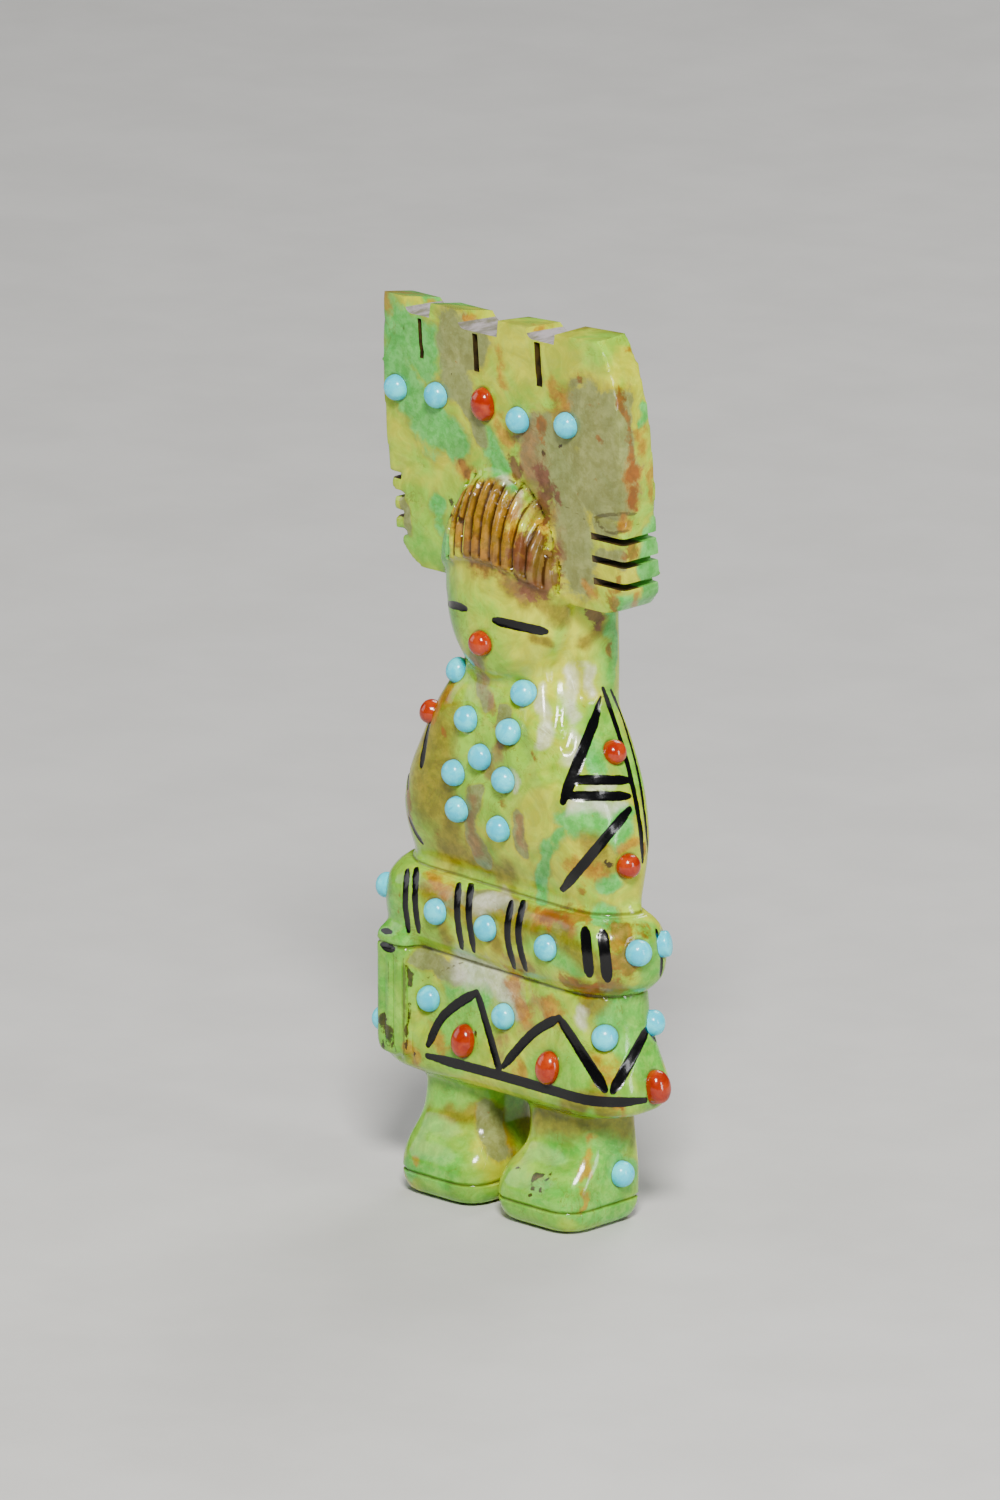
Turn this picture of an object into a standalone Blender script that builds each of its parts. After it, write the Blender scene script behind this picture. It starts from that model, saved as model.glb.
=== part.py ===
"""A standing maiden figure carved from one slab of green stone, inlaid with turquoise and coral.

It faces -Y, its own left hand is towards +X, and it stands on its soles at z = 0.
The stone is one solid. Each inlay is a domed stone in a drilled seat of its own.
"""

import math

import bmesh
import bpy
from mathutils import Vector
from mathutils.bvhtree import BVHTree

# Driving sizes in metres
FIGURE_HEIGHT = 0.091
CREST_FOOT_THICKNESS = 0.0053
CREST_TOP_THICKNESS = 0.0042
SLIT_WIDTH = 0.0006
SLIT_DEPTH = 0.0008
NOTCH_WIDTH = 0.0007
NOTCH_DEPTH = 0.0012
SOLE_GROOVE_WIDTH = 0.0004
SOLE_GROOVE_DEPTH = 0.0003
HAIR_GROOVE_DEPTH = 0.0004
TURQUOISE_DIAMETER = 0.0026
CORAL_DIAMETER = 0.0025
CORAL_OVAL_WIDTH = 0.0027
CORAL_OVAL_HEIGHT = 0.0034
INLAY_RISE = 0.0012
INLAY_ROOT = 0.0007
SEAT_SIDE_GAP = 0.00015
SEAT_FLOOR_GAP = 0.0003

# The carving's own proportions are shares of its height, in ninety-firsts of it
SHARE = FIGURE_HEIGHT / 91
TOP = 91

# Body stations, top to bottom: z, half width, front, back, front corner radius, valley beside the arm
SHOULDER_STATIONS = [
    (57.0, 6.0, -1.8, 6.0, 3.0, 0.0),
    (54.2, 7.0, -3.0, 6.5, 3.6, 0.3),
    (52.6, 8.2, -3.6, 6.7, 4.0, 0.5),
    (50.8, 9.4, -4.1, 6.8, 4.6, 0.6),
    (48.6, 10.7, -4.3, 6.8, 5.0, 0.6),
    (46.0, 12.1, -4.4, 6.5, 5.4, 0.4),
    (44.0, 13.1, -4.4, 6.2, 5.4, 0.3),
    (41.8, 14.0, -4.3, 5.7, 5.4, 0.1),
    (39.4, 14.5, -4.1, 5.4, 5.2, 0.0),
    (37.0, 14.6, -3.4, 4.9, 5.0, 0.0),
    (35.0, 14.5, -2.6, 4.5, 4.8, 0.0),
    (33.5, 14.4, -1.9, 4.2, 4.6, 0.0),
]
SKIRT_STATIONS = [
    (24.9, 14.9, -3.0, 4.8, 4.8, 0.0),
    (22.5, 15.0, -3.0, 5.0, 4.8, 0.0),
    (19.5, 15.4, -3.2, 5.3, 4.8, 0.0),
    (17.2, 16.0, -3.5, 5.7, 4.8, 0.0),
    (15.0, 16.8, -3.9, 6.0, 4.7, 0.0),
    (13.4, 16.7, -3.9, 5.9, 4.5, 0.0),
    (12.4, 16.0, -3.3, 5.6, 4.0, 0.0),
    (12.0, 14.8, -2.5, 5.0, 3.6, 0.0),
]
BACK_CORNER = 2.6
BELT_TOP, BELT_FOOT = 33.3, 25.1
BELT_HALF_WIDTH, BELT_FRONT, BELT_BACK, BELT_CORNER = 16.9, -4.4, 5.4, 5.4
BELT_EDGE_INSET, BELT_ROUNDING = 1.9, 4.0
BELT_ROWS = (1.0, 0.86, 0.62, 0.25, -0.25, -0.62, -0.86, -1.0)
BELT_DROP, BELT_TILT, BELT_TILT_REACH = 0.4, 0.035, 6.0

# Legs and boots, bottom to top: z, inner side, outer side, front, back, corner radius
LEG_STATIONS = [
    (0.0, 2.4, 10.8, -3.7, 4.6, 2.2),
    (0.4, 1.5, 11.7, -4.6, 5.4, 2.5),
    (1.3, 0.95, 12.2, -5.2, 5.8, 2.8),
    (2.0, 0.8, 12.3, -5.3, 5.9, 2.9),
    (3.1, 0.8, 12.3, -5.3, 5.9, 2.9),
    (4.3, 0.9, 12.3, -5.0, 5.9, 2.9),
    (5.4, 1.2, 12.3, -4.3, 5.9, 2.8),
    (6.4, 1.8, 12.2, -3.3, 5.9, 2.6),
    (7.6, 2.4, 12.0, -2.4, 5.9, 2.5),
    (9.2, 2.4, 11.9, -2.1, 5.8, 2.5),
    (11.2, 2.1, 11.9, -1.9, 5.6, 2.5),
    (14.0, 1.9, 12.0, -1.6, 5.3, 2.5),
]
LEG_BACK_CORNER = 1.9
SOLE_GROOVE_Z = 2.4

# Head, chin to hair: z, half width, front, back
HEAD_STATIONS = [
    (54.5, 2.6, -3.4, 2.0),
    (55.1, 4.2, -4.2, 2.6),
    (56.3, 5.6, -4.8, 3.0),
    (58.0, 6.8, -5.1, 3.2),
    (60.0, 7.5, -5.25, 3.2),
    (62.5, 7.8, -5.2, 3.2),
    (65.5, 7.8, -5.1, 3.2),
    (68.5, 7.4, -4.9, 3.0),
]
HEAD_CENTRE_Y = -0.7
HEAD_RING_POINTS = 22

# Fringe of hair over the brow: z, half width, front at its middle
FRINGE_STATIONS = [
    (63.2, 8.6, -5.9),
    (66.5, 8.5, -6.0),
    (69.0, 7.7, -5.95),
    (71.2, 6.5, -5.6),
    (73.0, 5.1, -4.9),
    (74.2, 4.0, -4.1),
    (74.8, 2.5, -3.3),
]
FRINGE_ROWS = (0.0, 0.16, 0.36, 0.56, 0.76, 0.92, 1.0)
FRINGE_EDGE_MIDDLE, FRINGE_EDGE_DROP = 66.9, 3.6
FRINGE_BACK = 1.0
FRINGE_LOCKS = 10
FRINGE_LOCK_REACH = 0.76
FRINGE_ROUNDNESS = 2.3

# Hair down the back of the head and neck: z, half width, front, back, corner radius
BACK_HAIR_STATIONS = [
    (44.0, 8.2, 1.0, 5.4, 2.6),
    (47.5, 8.8, 0.8, 7.0, 2.8),
    (56.0, 9.1, 0.6, 7.0, 3.0),
    (63.5, 9.1, 0.6, 6.8, 3.0),
    (69.0, 8.6, 0.6, 6.4, 2.9),
    (72.6, 7.0, 0.6, 5.5, 2.3),
    (74.8, 4.6, 0.6, 4.0, 1.6),
]

# Crest outline: the right side upwards, the lobes along the top, the left side downwards
CREST_FOOT, CREST_FOOT_LEFT, CREST_FOOT_RIGHT = 63.0, -11.6, 12.6
CREST_RIGHT_SIDE = [(14.6, 63.4), (15.7, 64.6), (16.1, 66.2), (16.2, 71), (16.5, 76), (16.6, 82)]
CREST_RIGHT_SHOULDER = [(16.3, 85.4), (15.7, 88.2), (14.9, 90.0)]
CREST_LEFT_SIDE = [(-14.7, 89.0), (-15.3, 83.0), (-15.5, 76.0), (-15.1, 70.0), (-14.8, 66.6)]
CREST_LEFT_CORNER = [(-14.3, 65.2), (-13.3, 64.0)]
LOBES = [(-14.4, -11.5), (-7.3, -4.4), (1.8, 4.9), (9.5, 14.0)]
SCOOP_DEPTH, SCOOP_WALL, SCOOP_RAMP = 1.7, 0.5, 1.2
CREST_FOOT_FRONT, CREST_TOP_FRONT = -1.3, -3.8
CREST_TOP_BACK_DROP = 0.65
SLIT_PLACES, SLIT_FOOT = (-9.7, -2.2, 6.2), 85.0
RIGHT_NOTCHES, LEFT_NOTCHES = (73.0, 70.8, 68.5, 66.2), (72.1, 70.2, 68.2, 66.3)
RIGHT_NOTCH_REACH, LEFT_NOTCH_REACH = 4.3, 1.7

# Sash end over the right hip, top to bottom: z, right side, left side, front, back, corner
SASH_STATIONS = [
    (27.2, -14.0, -11.3, -3.4, 0.0, 1.0),
    (26.8, -14.7, -10.6, -4.6, 0.0, 1.1),
    (26.0, -15.0, -10.3, -5.0, 0.0, 1.2),
    (15.0, -15.0, -10.3, -5.0, 0.0, 1.2),
    (14.0, -14.8, -10.5, -4.8, 0.0, 1.1),
    (13.6, -14.2, -11.1, -4.2, 0.0, 1.0),
]

CORNER_STEPS = 4
FRONT_STEPS = (-0.92, -0.6, -0.2, 0.2, 0.6, 0.92)
BACK_STEPS = (0.6, 0.0, -0.6)
INLAY_SIDES = 10
DOME_SHOULDER_WIDTH, DOME_SHOULDER_RISE = 0.72, 0.68
INLAY_WALL_RISE = 0.0001
CLEAR = 2 * SHARE

# Inlays by row: direction faced in degrees (0 is the front, 90 the figure's left), then sideways place and z
TURQUOISE_ROWS = {
    "crest_turquoise": [(0, -13.4, 81.3), (0, -7.9, 81.5), (0, 3.1, 80.95), (0, 9.6, 81.6)],
    "chest_turquoise": [
        (-30, -3.8, 54.0),
        (10, 3.35, 53.7),
        (0, -2.7, 50.0),
        (0, 3.0, 49.8),
        (0, -0.6, 46.6),
        (0, -4.2, 44.3),
        (0, 2.6, 44.9),
        (0, -3.9, 40.6),
        (0, 1.65, 39.7),
    ],
    "belt_turquoise": [
        (-62, -6.3, 29.8),
        (0, -6.75, 29.6),
        (0, 0.1, 29.3),
        (0, 8.25, 29.0),
        (75, 4.2, 29.3),
        (121, -5.1, 29.35),
        (180, -8.5, 28.8),
        (180, 0.0, 29.0),
        (180, 8.5, 29.3),
        (-110, 2.3, 29.5),
    ],
    "skirt_turquoise": [
        (0, -8.8, 20.0),
        (0, 1.4, 20.3),
        (40, 9.35, 20.4),
        (128, -5.6, 20.8),
        (180, -5.5, 20.4),
        (180, 5.5, 20.4),
        (-100, -0.4, 20.4),
    ],
    "sash_turquoise": [(-90, 3.2, 16.7)],
    "boot_turquoise": [(90, 2.15, 5.3), (-90, -2.15, 5.3)],
}
CORAL_ROWS = {
    "mouth_coral": [(0, 0.1, 58.4)],
    "arm_coral": [(90, 2.25, 48.0), (90, 0.7, 37.5), (-55, -3.7, 49.0), (-90, -1.8, 39.6)],
}
CORAL_OVAL_ROWS = {
    "crest_coral": [(0, -1.55, 81.7)],
    "skirt_coral": [(0, -3.7, 16.8), (0, 7.85, 16.5), (100, -0.4, 15.1), (180, 0.0, 16.4)],
}
STONE_COLOUR = (0.42, 0.58, 0.18, 1.0)
TURQUOISE_COLOUR = (0.20, 0.62, 0.70, 1.0)
CORAL_COLOUR = (0.62, 0.07, 0.03, 1.0)


def clear_scene():
    for thing in list(bpy.data.objects):
        bpy.data.objects.remove(thing, do_unlink=True)


def make_material(name, colour, roughness):
    material = bpy.data.materials.new(name)
    material.use_nodes = True
    shader = material.node_tree.nodes["Principled BSDF"]
    shader.inputs["Base Color"].default_value = colour
    shader.inputs["Roughness"].default_value = roughness
    shader.inputs["Metallic"].default_value = 0.0
    material.diffuse_color = colour
    return material


def object_from(name, mesh_data):
    """Turn a bmesh into an object, with its faces pointing out."""
    bmesh.ops.recalc_face_normals(mesh_data, faces=mesh_data.faces)
    mesh = bpy.data.meshes.new(name)
    mesh_data.to_mesh(mesh)
    mesh_data.free()
    made = bpy.data.objects.new(name, mesh)
    bpy.context.scene.collection.objects.link(made)
    return made


def loft(name, rings):
    """A closed skin over rings of equal length, capped flat at both ends."""
    skin = bmesh.new()
    rows = [[skin.verts.new(Vector(point) * SHARE) for point in ring] for ring in rings]
    count = len(rows[0])
    for lower, upper in zip(rows, rows[1:]):
        for i in range(count):
            following = (i + 1) % count
            skin.faces.new((lower[i], lower[following], upper[following], upper[i]))
    skin.faces.new(list(reversed(rows[0])))
    skin.faces.new(rows[-1])
    return object_from(name, skin)


def slab_ring(
    z, left, right, front, back, corner, back_corner=None, valley=0.0, front_steps=(), back_steps=()
):
    """A level rounded rectangle. The outermost front steps sink by the valley."""
    behind = corner if back_corner is None else back_corner
    corners = [
        (right - corner, front + corner, corner, -90),
        (right - behind, back - behind, behind, 0),
        (left + behind, back - behind, behind, 90),
        (left + corner, front + corner, corner, 180),
    ]
    middle = (left + right) / 2
    half = (right - left) / 2
    ring = []
    for index, (centre_x, centre_y, radius, start) in enumerate(corners):
        for step in range(CORNER_STEPS + 1):
            angle = math.radians(start + 90 * step / CORNER_STEPS)
            ring.append((centre_x + radius * math.cos(angle), centre_y + radius * math.sin(angle), z))
        if index == 1:
            ring.extend((middle + (half - behind) * step, back, z) for step in back_steps)
    for step in front_steps:
        sunk = valley if abs(step) == max(front_steps) else 0.0
        ring.append((middle + (half - corner) * step, front + sunk, z))
    return ring


def make_body():
    """Shoulders, belt and skirt in one skin."""
    stations = list(SHOULDER_STATIONS)
    middle = (BELT_TOP + BELT_FOOT) / 2
    half_height = (BELT_TOP - BELT_FOOT) / 2
    for row in BELT_ROWS:
        inset = BELT_EDGE_INSET * abs(row) ** BELT_ROUNDING
        stations.append(
            (
                middle + row * half_height,
                BELT_HALF_WIDTH - inset,
                BELT_FRONT + inset,
                BELT_BACK - inset,
                BELT_CORNER,
                0.0,
            )
        )
    stations.extend(SKIRT_STATIONS)
    rings = []
    for z, half, front, back, corner, valley in stations:
        ring = slab_ring(z, -half, half, front, back, corner, BACK_CORNER, valley, FRONT_STEPS, BACK_STEPS)
        nearness = max(0.0, 1 - abs(z - middle) / (half_height + BELT_TILT_REACH)) ** 0.5
        rings.append([(x, y, z - (BELT_DROP + BELT_TILT * x) * nearness) for x, y, z in ring])
    return loft("stone_figure", rings)


def make_leg(side):
    """One leg and boot, grooved above the sole. side is 1 for the figure's left and -1 for its right."""
    stations = list(LEG_STATIONS)
    half = SOLE_GROOVE_WIDTH / SHARE / 2
    for above, sunk in ((-half, 0.0), (0.0, SOLE_GROOVE_DEPTH / SHARE), (half, 0.0)):
        z = SOLE_GROOVE_Z + above
        row = [between_stations(LEG_STATIONS, z, column) for column in range(1, 6)]
        inner, outer, front, back, corner = row
        stations.append((z, inner + sunk, outer - sunk, front + sunk, back - sunk, corner))
    rings = []
    for z, inner, outer, front, back, corner in sorted(stations):
        left, right = sorted((side * inner, side * outer))
        rings.append(slab_ring(z, left, right, front, back, corner, LEG_BACK_CORNER))
    return loft("leg", rings)


def make_head():
    rings = []
    for z, half_width, front, back in HEAD_STATIONS:
        ring = []
        for i in range(HEAD_RING_POINTS):
            angle = math.tau * i / HEAD_RING_POINTS
            reach = back - HEAD_CENTRE_Y if math.sin(angle) > 0 else HEAD_CENTRE_Y - front
            ring.append((half_width * math.cos(angle), HEAD_CENTRE_Y + reach * math.sin(angle), z))
        rings.append(ring)
    return loft("head", rings)


def make_back_hair():
    rings = [
        slab_ring(z, -half, half, front, back, corner)
        for z, half, front, back, corner in BACK_HAIR_STATIONS
    ]
    return loft("back_hair", rings)


def make_sash():
    return loft("sash_end", [slab_ring(*station) for station in SASH_STATIONS])


def between_stations(stations, z, column):
    """The value of one column at z, straight between the stations on either side."""
    for lower, upper in zip(stations, stations[1:]):
        if z <= upper[0]:
            share = max(0.0, (z - lower[0]) / (upper[0] - lower[0]))
            return lower[column] + share * (upper[column] - lower[column])
    return stations[-1][column]


def fringe_columns():
    """Sideways places from -1 to 1 across the fringe, each with how deep it is grooved."""
    columns = [(-1.0, 0.0), (-0.93, 0.0)]
    lock = 2 * FRINGE_LOCK_REACH / FRINGE_LOCKS
    for index in range(FRINGE_LOCKS):
        start = -FRINGE_LOCK_REACH + index * lock
        columns.extend([(start, 1.0), (start + 0.28 * lock, 0.0), (start + 0.72 * lock, 0.0)])
    columns.extend([(FRINGE_LOCK_REACH, 1.0), (0.93, 0.0), (1.0, 0.0)])
    return columns


def make_fringe():
    """The domed hair over the brow, grooved into locks that close in towards the crown."""
    columns = fringe_columns()
    top = FRINGE_STATIONS[-1][0]
    skin = bmesh.new()
    rows = []
    for row in FRINGE_ROWS:
        points = []
        for place, grooved in columns:
            edge = FRINGE_EDGE_MIDDLE - FRINGE_EDGE_DROP * place * place
            z = edge + (top - edge) * row
            half_width = between_stations(FRINGE_STATIONS, z, 1)
            front = between_stations(FRINGE_STATIONS, z, 2)
            fullness = (1 - abs(place) ** FRINGE_ROUNDNESS) ** (1 / FRINGE_ROUNDNESS)
            y = (FRINGE_BACK + (front - FRINGE_BACK) * fullness) * SHARE
            y += grooved * HAIR_GROOVE_DEPTH * (1 - row**3)
            points.append(skin.verts.new((half_width * place * SHARE, y, z * SHARE)))
        rows.append(points)
    for lower, upper in zip(rows, rows[1:]):
        for i in range(len(columns) - 1):
            skin.faces.new((lower[i], lower[i + 1], upper[i + 1], upper[i]))
    rim = rows[0] + [row[-1] for row in rows[1:]]
    rim += list(reversed(rows[-1][:-1])) + [row[0] for row in reversed(rows[1:-1])]
    back_y = (FRINGE_BACK + 1.0) * SHARE
    behind = [skin.verts.new((vert.co.x, back_y, vert.co.z)) for vert in rim]
    for i in range(len(rim)):
        following = (i + 1) % len(rim)
        skin.faces.new((rim[i], behind[i], behind[following], rim[following]))
    skin.faces.new(behind)
    return object_from("fringe", skin)


def crest_front(z):
    """y of the crest's front face at z, both in shares."""
    return CREST_FOOT_FRONT + (CREST_TOP_FRONT - CREST_FOOT_FRONT) * (z - CREST_FOOT) / (TOP - CREST_FOOT)


def crest_outline():
    """x and z round the crest, with a scoop sawn out between each pair of lobes."""
    outline = [(CREST_FOOT_RIGHT, CREST_FOOT)] + CREST_RIGHT_SIDE + CREST_RIGHT_SHOULDER
    floor = TOP - SCOOP_DEPTH
    for index in range(len(LOBES) - 1, -1, -1):
        start, end = LOBES[index]
        outline.extend([(end, TOP), (start, TOP)])
        if index:
            previous_end = LOBES[index - 1][1]
            outline.append((start - SCOOP_RAMP, floor + 0.25))
            outline.append((previous_end + SCOOP_WALL, floor))
    return outline + CREST_LEFT_SIDE + CREST_LEFT_CORNER + [(CREST_FOOT_LEFT, CREST_FOOT)]


def make_crest():
    """The leaning slab of the headdress."""
    slab = bmesh.new()
    front, back = [], []
    for x, z in crest_outline():
        front.append(slab.verts.new((x * SHARE, crest_front(z) * SHARE, z * SHARE)))
        from_right = (LOBES[-1][1] - x) / (LOBES[-1][1] - LOBES[0][0])
        z -= CREST_TOP_BACK_DROP * from_right if z == TOP else 0.0
        share = (z - CREST_FOOT) / (TOP - CREST_FOOT)
        thickness = CREST_FOOT_THICKNESS + (CREST_TOP_THICKNESS - CREST_FOOT_THICKNESS) * share
        back.append(slab.verts.new((x * SHARE, crest_front(z) * SHARE + thickness, z * SHARE)))
    for i in range(len(front)):
        following = (i + 1) % len(front)
        slab.faces.new((front[i], front[following], back[following], back[i]))
    slab.faces.new(list(reversed(front)))
    slab.faces.new(back)
    return object_from("crest", slab)


def add_prism(cutter, plan, low, high):
    """An upright prism over a four-cornered plan."""
    foot = [cutter.verts.new((x, y, low)) for x, y in plan]
    head = [cutter.verts.new((x, y, high)) for x, y in plan]
    cutter.faces.new(foot)
    cutter.faces.new(list(reversed(head)))
    for i in range(len(plan)):
        following = (i + 1) % len(plan)
        cutter.faces.new((foot[i], head[i], head[following], foot[following]))


def make_slits():
    """A narrow upright cut below each scoop, open at the top."""
    cuts = bmesh.new()
    for place in SLIT_PLACES:
        front = crest_front(SLIT_FOOT) * SHARE
        left, right = place * SHARE - SLIT_WIDTH / 2, place * SHARE + SLIT_WIDTH / 2
        near, far = front - CLEAR, front + SLIT_DEPTH
        plan = [(left, near), (right, near), (right, far), (left, far)]
        add_prism(cuts, plan, SLIT_FOOT * SHARE, (TOP + 1) * SHARE)
    return object_from("slits", cuts)


def make_notches():
    """Saw cuts down both edges of the crest, deeper at its front than at its back."""
    cuts = bmesh.new()
    rows = [
        (1, RIGHT_NOTCHES, RIGHT_NOTCH_REACH, CREST_RIGHT_SIDE[3][0]),
        (-1, LEFT_NOTCHES, LEFT_NOTCH_REACH, -CREST_LEFT_SIDE[3][0]),
    ]
    for side, heights, reach, edge in rows:
        outer = edge * SHARE + CLEAR
        at_front = (edge - reach) * SHARE
        at_back = edge * SHARE - NOTCH_DEPTH
        for height in heights:
            front = crest_front(height) * SHARE
            slope = (at_back - at_front) / CREST_FOOT_THICKNESS
            far = front + CREST_FOOT_THICKNESS + CLEAR
            plan = [
                (side * (at_front - slope * CLEAR), front - CLEAR),
                (side * outer, front - CLEAR),
                (side * outer, far),
                (side * (at_back + slope * CLEAR), far),
            ]
            add_prism(cuts, plan, height * SHARE - NOTCH_WIDTH / 2, height * SHARE + NOTCH_WIDTH / 2)
    return object_from("notches", cuts)


def settle_mesh(thing):
    """Replace the object's mesh by what its modifiers make of it."""
    bpy.context.view_layer.update()
    graph = bpy.context.evaluated_depsgraph_get()
    made = bpy.data.meshes.new_from_object(thing.evaluated_get(graph))
    thing.modifiers.clear()
    thing.data = made


def combine(body, tool, operation):
    """Join a piece to the body, or cut it away, then drop the piece."""
    tool.hide_render = True
    tool.display_type = "WIRE"
    boolean = body.modifiers.new(tool.name, "BOOLEAN")
    boolean.operation = operation
    boolean.solver = "EXACT"
    boolean.object = tool
    settle_mesh(body)
    bpy.data.objects.remove(tool, do_unlink=True)


def carve_stone():
    """The whole carving, before its seats are drilled."""
    stone = make_body()
    for piece in (make_crest(), make_back_hair(), make_head(), make_fringe()):
        combine(stone, piece, "UNION")
    for piece in (make_leg(1), make_leg(-1), make_sash()):
        combine(stone, piece, "UNION")
    for cutter in (make_slits(), make_notches()):
        combine(stone, cutter, "DIFFERENCE")
    return stone


def inlay_seat_frame(surface, facing, sideways, z):
    """An inlay's place on the stone, the way it points out, and its sideways and upright directions."""
    angle = math.radians(facing)
    out = Vector((math.sin(angle), -math.cos(angle), 0.0))
    across = Vector((math.cos(angle), math.sin(angle), 0.0))
    start = across * sideways * SHARE + out * FIGURE_HEIGHT + Vector((0, 0, z * SHARE))
    probe = TURQUOISE_DIAMETER / 3
    place = surface.ray_cast(start, -out)[0]
    normal = Vector((0, 0, 0))
    for right, up in ((0, 0), (probe, 0), (-probe, 0), (0, probe), (0, -probe)):
        normal += surface.ray_cast(start + across * right + Vector((0, 0, up)), -out)[1]
    normal.normalize()
    upright = (Vector((0, 0, 1)) - normal * normal.z).normalized()
    return place, normal, upright.cross(normal), upright


def inlay_ring(mesh_data, frame, half_width, half_height, rise):
    """A level ring of an inlay or its seat, at a rise above the stone."""
    place, normal, across, upright = frame
    ring = []
    for i in range(INLAY_SIDES):
        angle = math.tau * (i + 0.5) / INLAY_SIDES
        offset = across * half_width * math.cos(angle) + upright * half_height * math.sin(angle)
        ring.append(mesh_data.verts.new(place + offset + normal * rise))
    return ring


def join_rings(mesh_data, lower, upper):
    for i in range(len(lower)):
        following = (i + 1) % len(lower)
        mesh_data.faces.new((lower[i], lower[following], upper[following], upper[i]))


def add_seat(cutter, frame, width, height):
    """A flat-floored hole a little wider and deeper than its inlay."""
    half_width, half_height = width / 2 + SEAT_SIDE_GAP, height / 2 + SEAT_SIDE_GAP
    floor = inlay_ring(cutter, frame, half_width, half_height, -INLAY_ROOT - SEAT_FLOOR_GAP)
    mouth = inlay_ring(cutter, frame, half_width, half_height, INLAY_RISE)
    cutter.faces.new(list(reversed(floor)))
    join_rings(cutter, floor, mouth)
    cutter.faces.new(mouth)


def make_inlay(name, frame, width, height):
    """A domed stone with straight sides below the surface of the carving."""
    stone = bmesh.new()
    root = inlay_ring(stone, frame, width / 2, height / 2, -INLAY_ROOT)
    girdle = inlay_ring(stone, frame, width / 2, height / 2, INLAY_WALL_RISE)
    dome_rise = INLAY_RISE - INLAY_WALL_RISE
    shoulder_rise = INLAY_WALL_RISE + dome_rise * DOME_SHOULDER_RISE
    shoulder_width = DOME_SHOULDER_WIDTH / 2
    shoulder = inlay_ring(stone, frame, width * shoulder_width, height * shoulder_width, shoulder_rise)
    top = stone.verts.new(frame[0] + frame[1] * INLAY_RISE)
    stone.faces.new(list(reversed(root)))
    join_rings(stone, root, girdle)
    join_rings(stone, girdle, shoulder)
    for i in range(INLAY_SIDES):
        stone.faces.new((shoulder[i], shoulder[(i + 1) % INLAY_SIDES], top))
    return object_from(name, stone)


def surface_of(thing):
    """A search tree over the object's faces, for finding where a line meets them."""
    shape = bmesh.new()
    shape.from_mesh(thing.data)
    tree = BVHTree.FromBMesh(shape)
    shape.free()
    return tree


def set_inlays(stone):
    """Drill every seat in one cut and stand the inlays in them. Returns the inlays with their colours."""
    surface = surface_of(stone)
    kinds = [
        (TURQUOISE_ROWS, TURQUOISE_DIAMETER, TURQUOISE_DIAMETER, TURQUOISE_COLOUR),
        (CORAL_ROWS, CORAL_DIAMETER, CORAL_DIAMETER, CORAL_COLOUR),
        (CORAL_OVAL_ROWS, CORAL_OVAL_WIDTH, CORAL_OVAL_HEIGHT, CORAL_COLOUR),
    ]
    seats = bmesh.new()
    inlays = []
    for rows, width, height, colour in kinds:
        for row_name, places in rows.items():
            for number, (facing, sideways, z) in enumerate(places, 1):
                name = f"{row_name}_{number}" if len(places) > 1 else row_name
                frame = inlay_seat_frame(surface, facing, sideways, z)
                add_seat(seats, frame, width, height)
                inlays.append((make_inlay(name, frame, width, height), colour))
    combine(stone, object_from("seats", seats), "DIFFERENCE")
    return inlays


def stand_on_origin(things):
    """Move everything so that the whole figure is centred on the origin and stands on it."""
    corners = [vert.co for thing in things for vert in thing.data.vertices]
    low = Vector((min(co.x for co in corners), min(co.y for co in corners), min(co.z for co in corners)))
    high = Vector((max(co.x for co in corners), max(co.y for co in corners), 0.0))
    shift = Vector((-(low.x + high.x) / 2, -(low.y + high.y) / 2, -low.z))
    for thing in things:
        for vert in thing.data.vertices:
            vert.co += shift


def main():
    clear_scene()
    stone = carve_stone()
    inlays = set_inlays(stone)
    stand_on_origin([stone] + [inlay for inlay, colour in inlays])
    stone.data.materials.clear()
    stone.data.materials.append(make_material("polished_green_stone", STONE_COLOUR, 0.15))
    for inlay, colour in inlays:
        inlay.data.materials.append(make_material(inlay.name, colour, 0.2))


main()
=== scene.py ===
"""The looks of a carved and inlaid stone maiden: polished stone, engraved ink, turquoise and coral."""

import math
from contextlib import contextmanager

import bpy
import numpy as np
from mathutils import Matrix, Vector, noise
from mathutils.bvhtree import BVHTree


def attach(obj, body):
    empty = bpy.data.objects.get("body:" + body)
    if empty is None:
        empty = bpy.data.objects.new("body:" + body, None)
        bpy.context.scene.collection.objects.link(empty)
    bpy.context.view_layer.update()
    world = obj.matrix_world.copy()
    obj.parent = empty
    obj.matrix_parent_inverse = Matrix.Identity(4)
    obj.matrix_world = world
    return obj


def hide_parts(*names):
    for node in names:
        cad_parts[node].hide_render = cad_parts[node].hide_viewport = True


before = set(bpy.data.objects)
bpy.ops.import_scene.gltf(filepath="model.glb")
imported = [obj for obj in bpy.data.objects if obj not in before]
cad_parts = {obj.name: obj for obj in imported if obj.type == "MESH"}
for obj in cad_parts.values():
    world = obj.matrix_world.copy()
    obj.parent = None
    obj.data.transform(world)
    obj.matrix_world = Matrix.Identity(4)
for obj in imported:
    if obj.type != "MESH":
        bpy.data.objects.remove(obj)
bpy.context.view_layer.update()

MM = 0.001

# The photograph's camera, in the frame of the part
AZIMUTH, ELEVATION, DISTANCE = 44.0, 15.8, 1.4
AIM = Vector((-0.0137, -2.66, 47.0)) * MM
FOCAL_PIXELS = 14336
PHOTO_MIDDLE = (500, 750)
PHOTO_LONG_SIDE, SENSOR_LONG_SIDE = 1500, 36.0
# How far the part's frame is from the frame that the carving was drawn in
DRAWN_SHIFT = Vector((-0.0137, -0.3602, 0.0)) * MM
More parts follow.
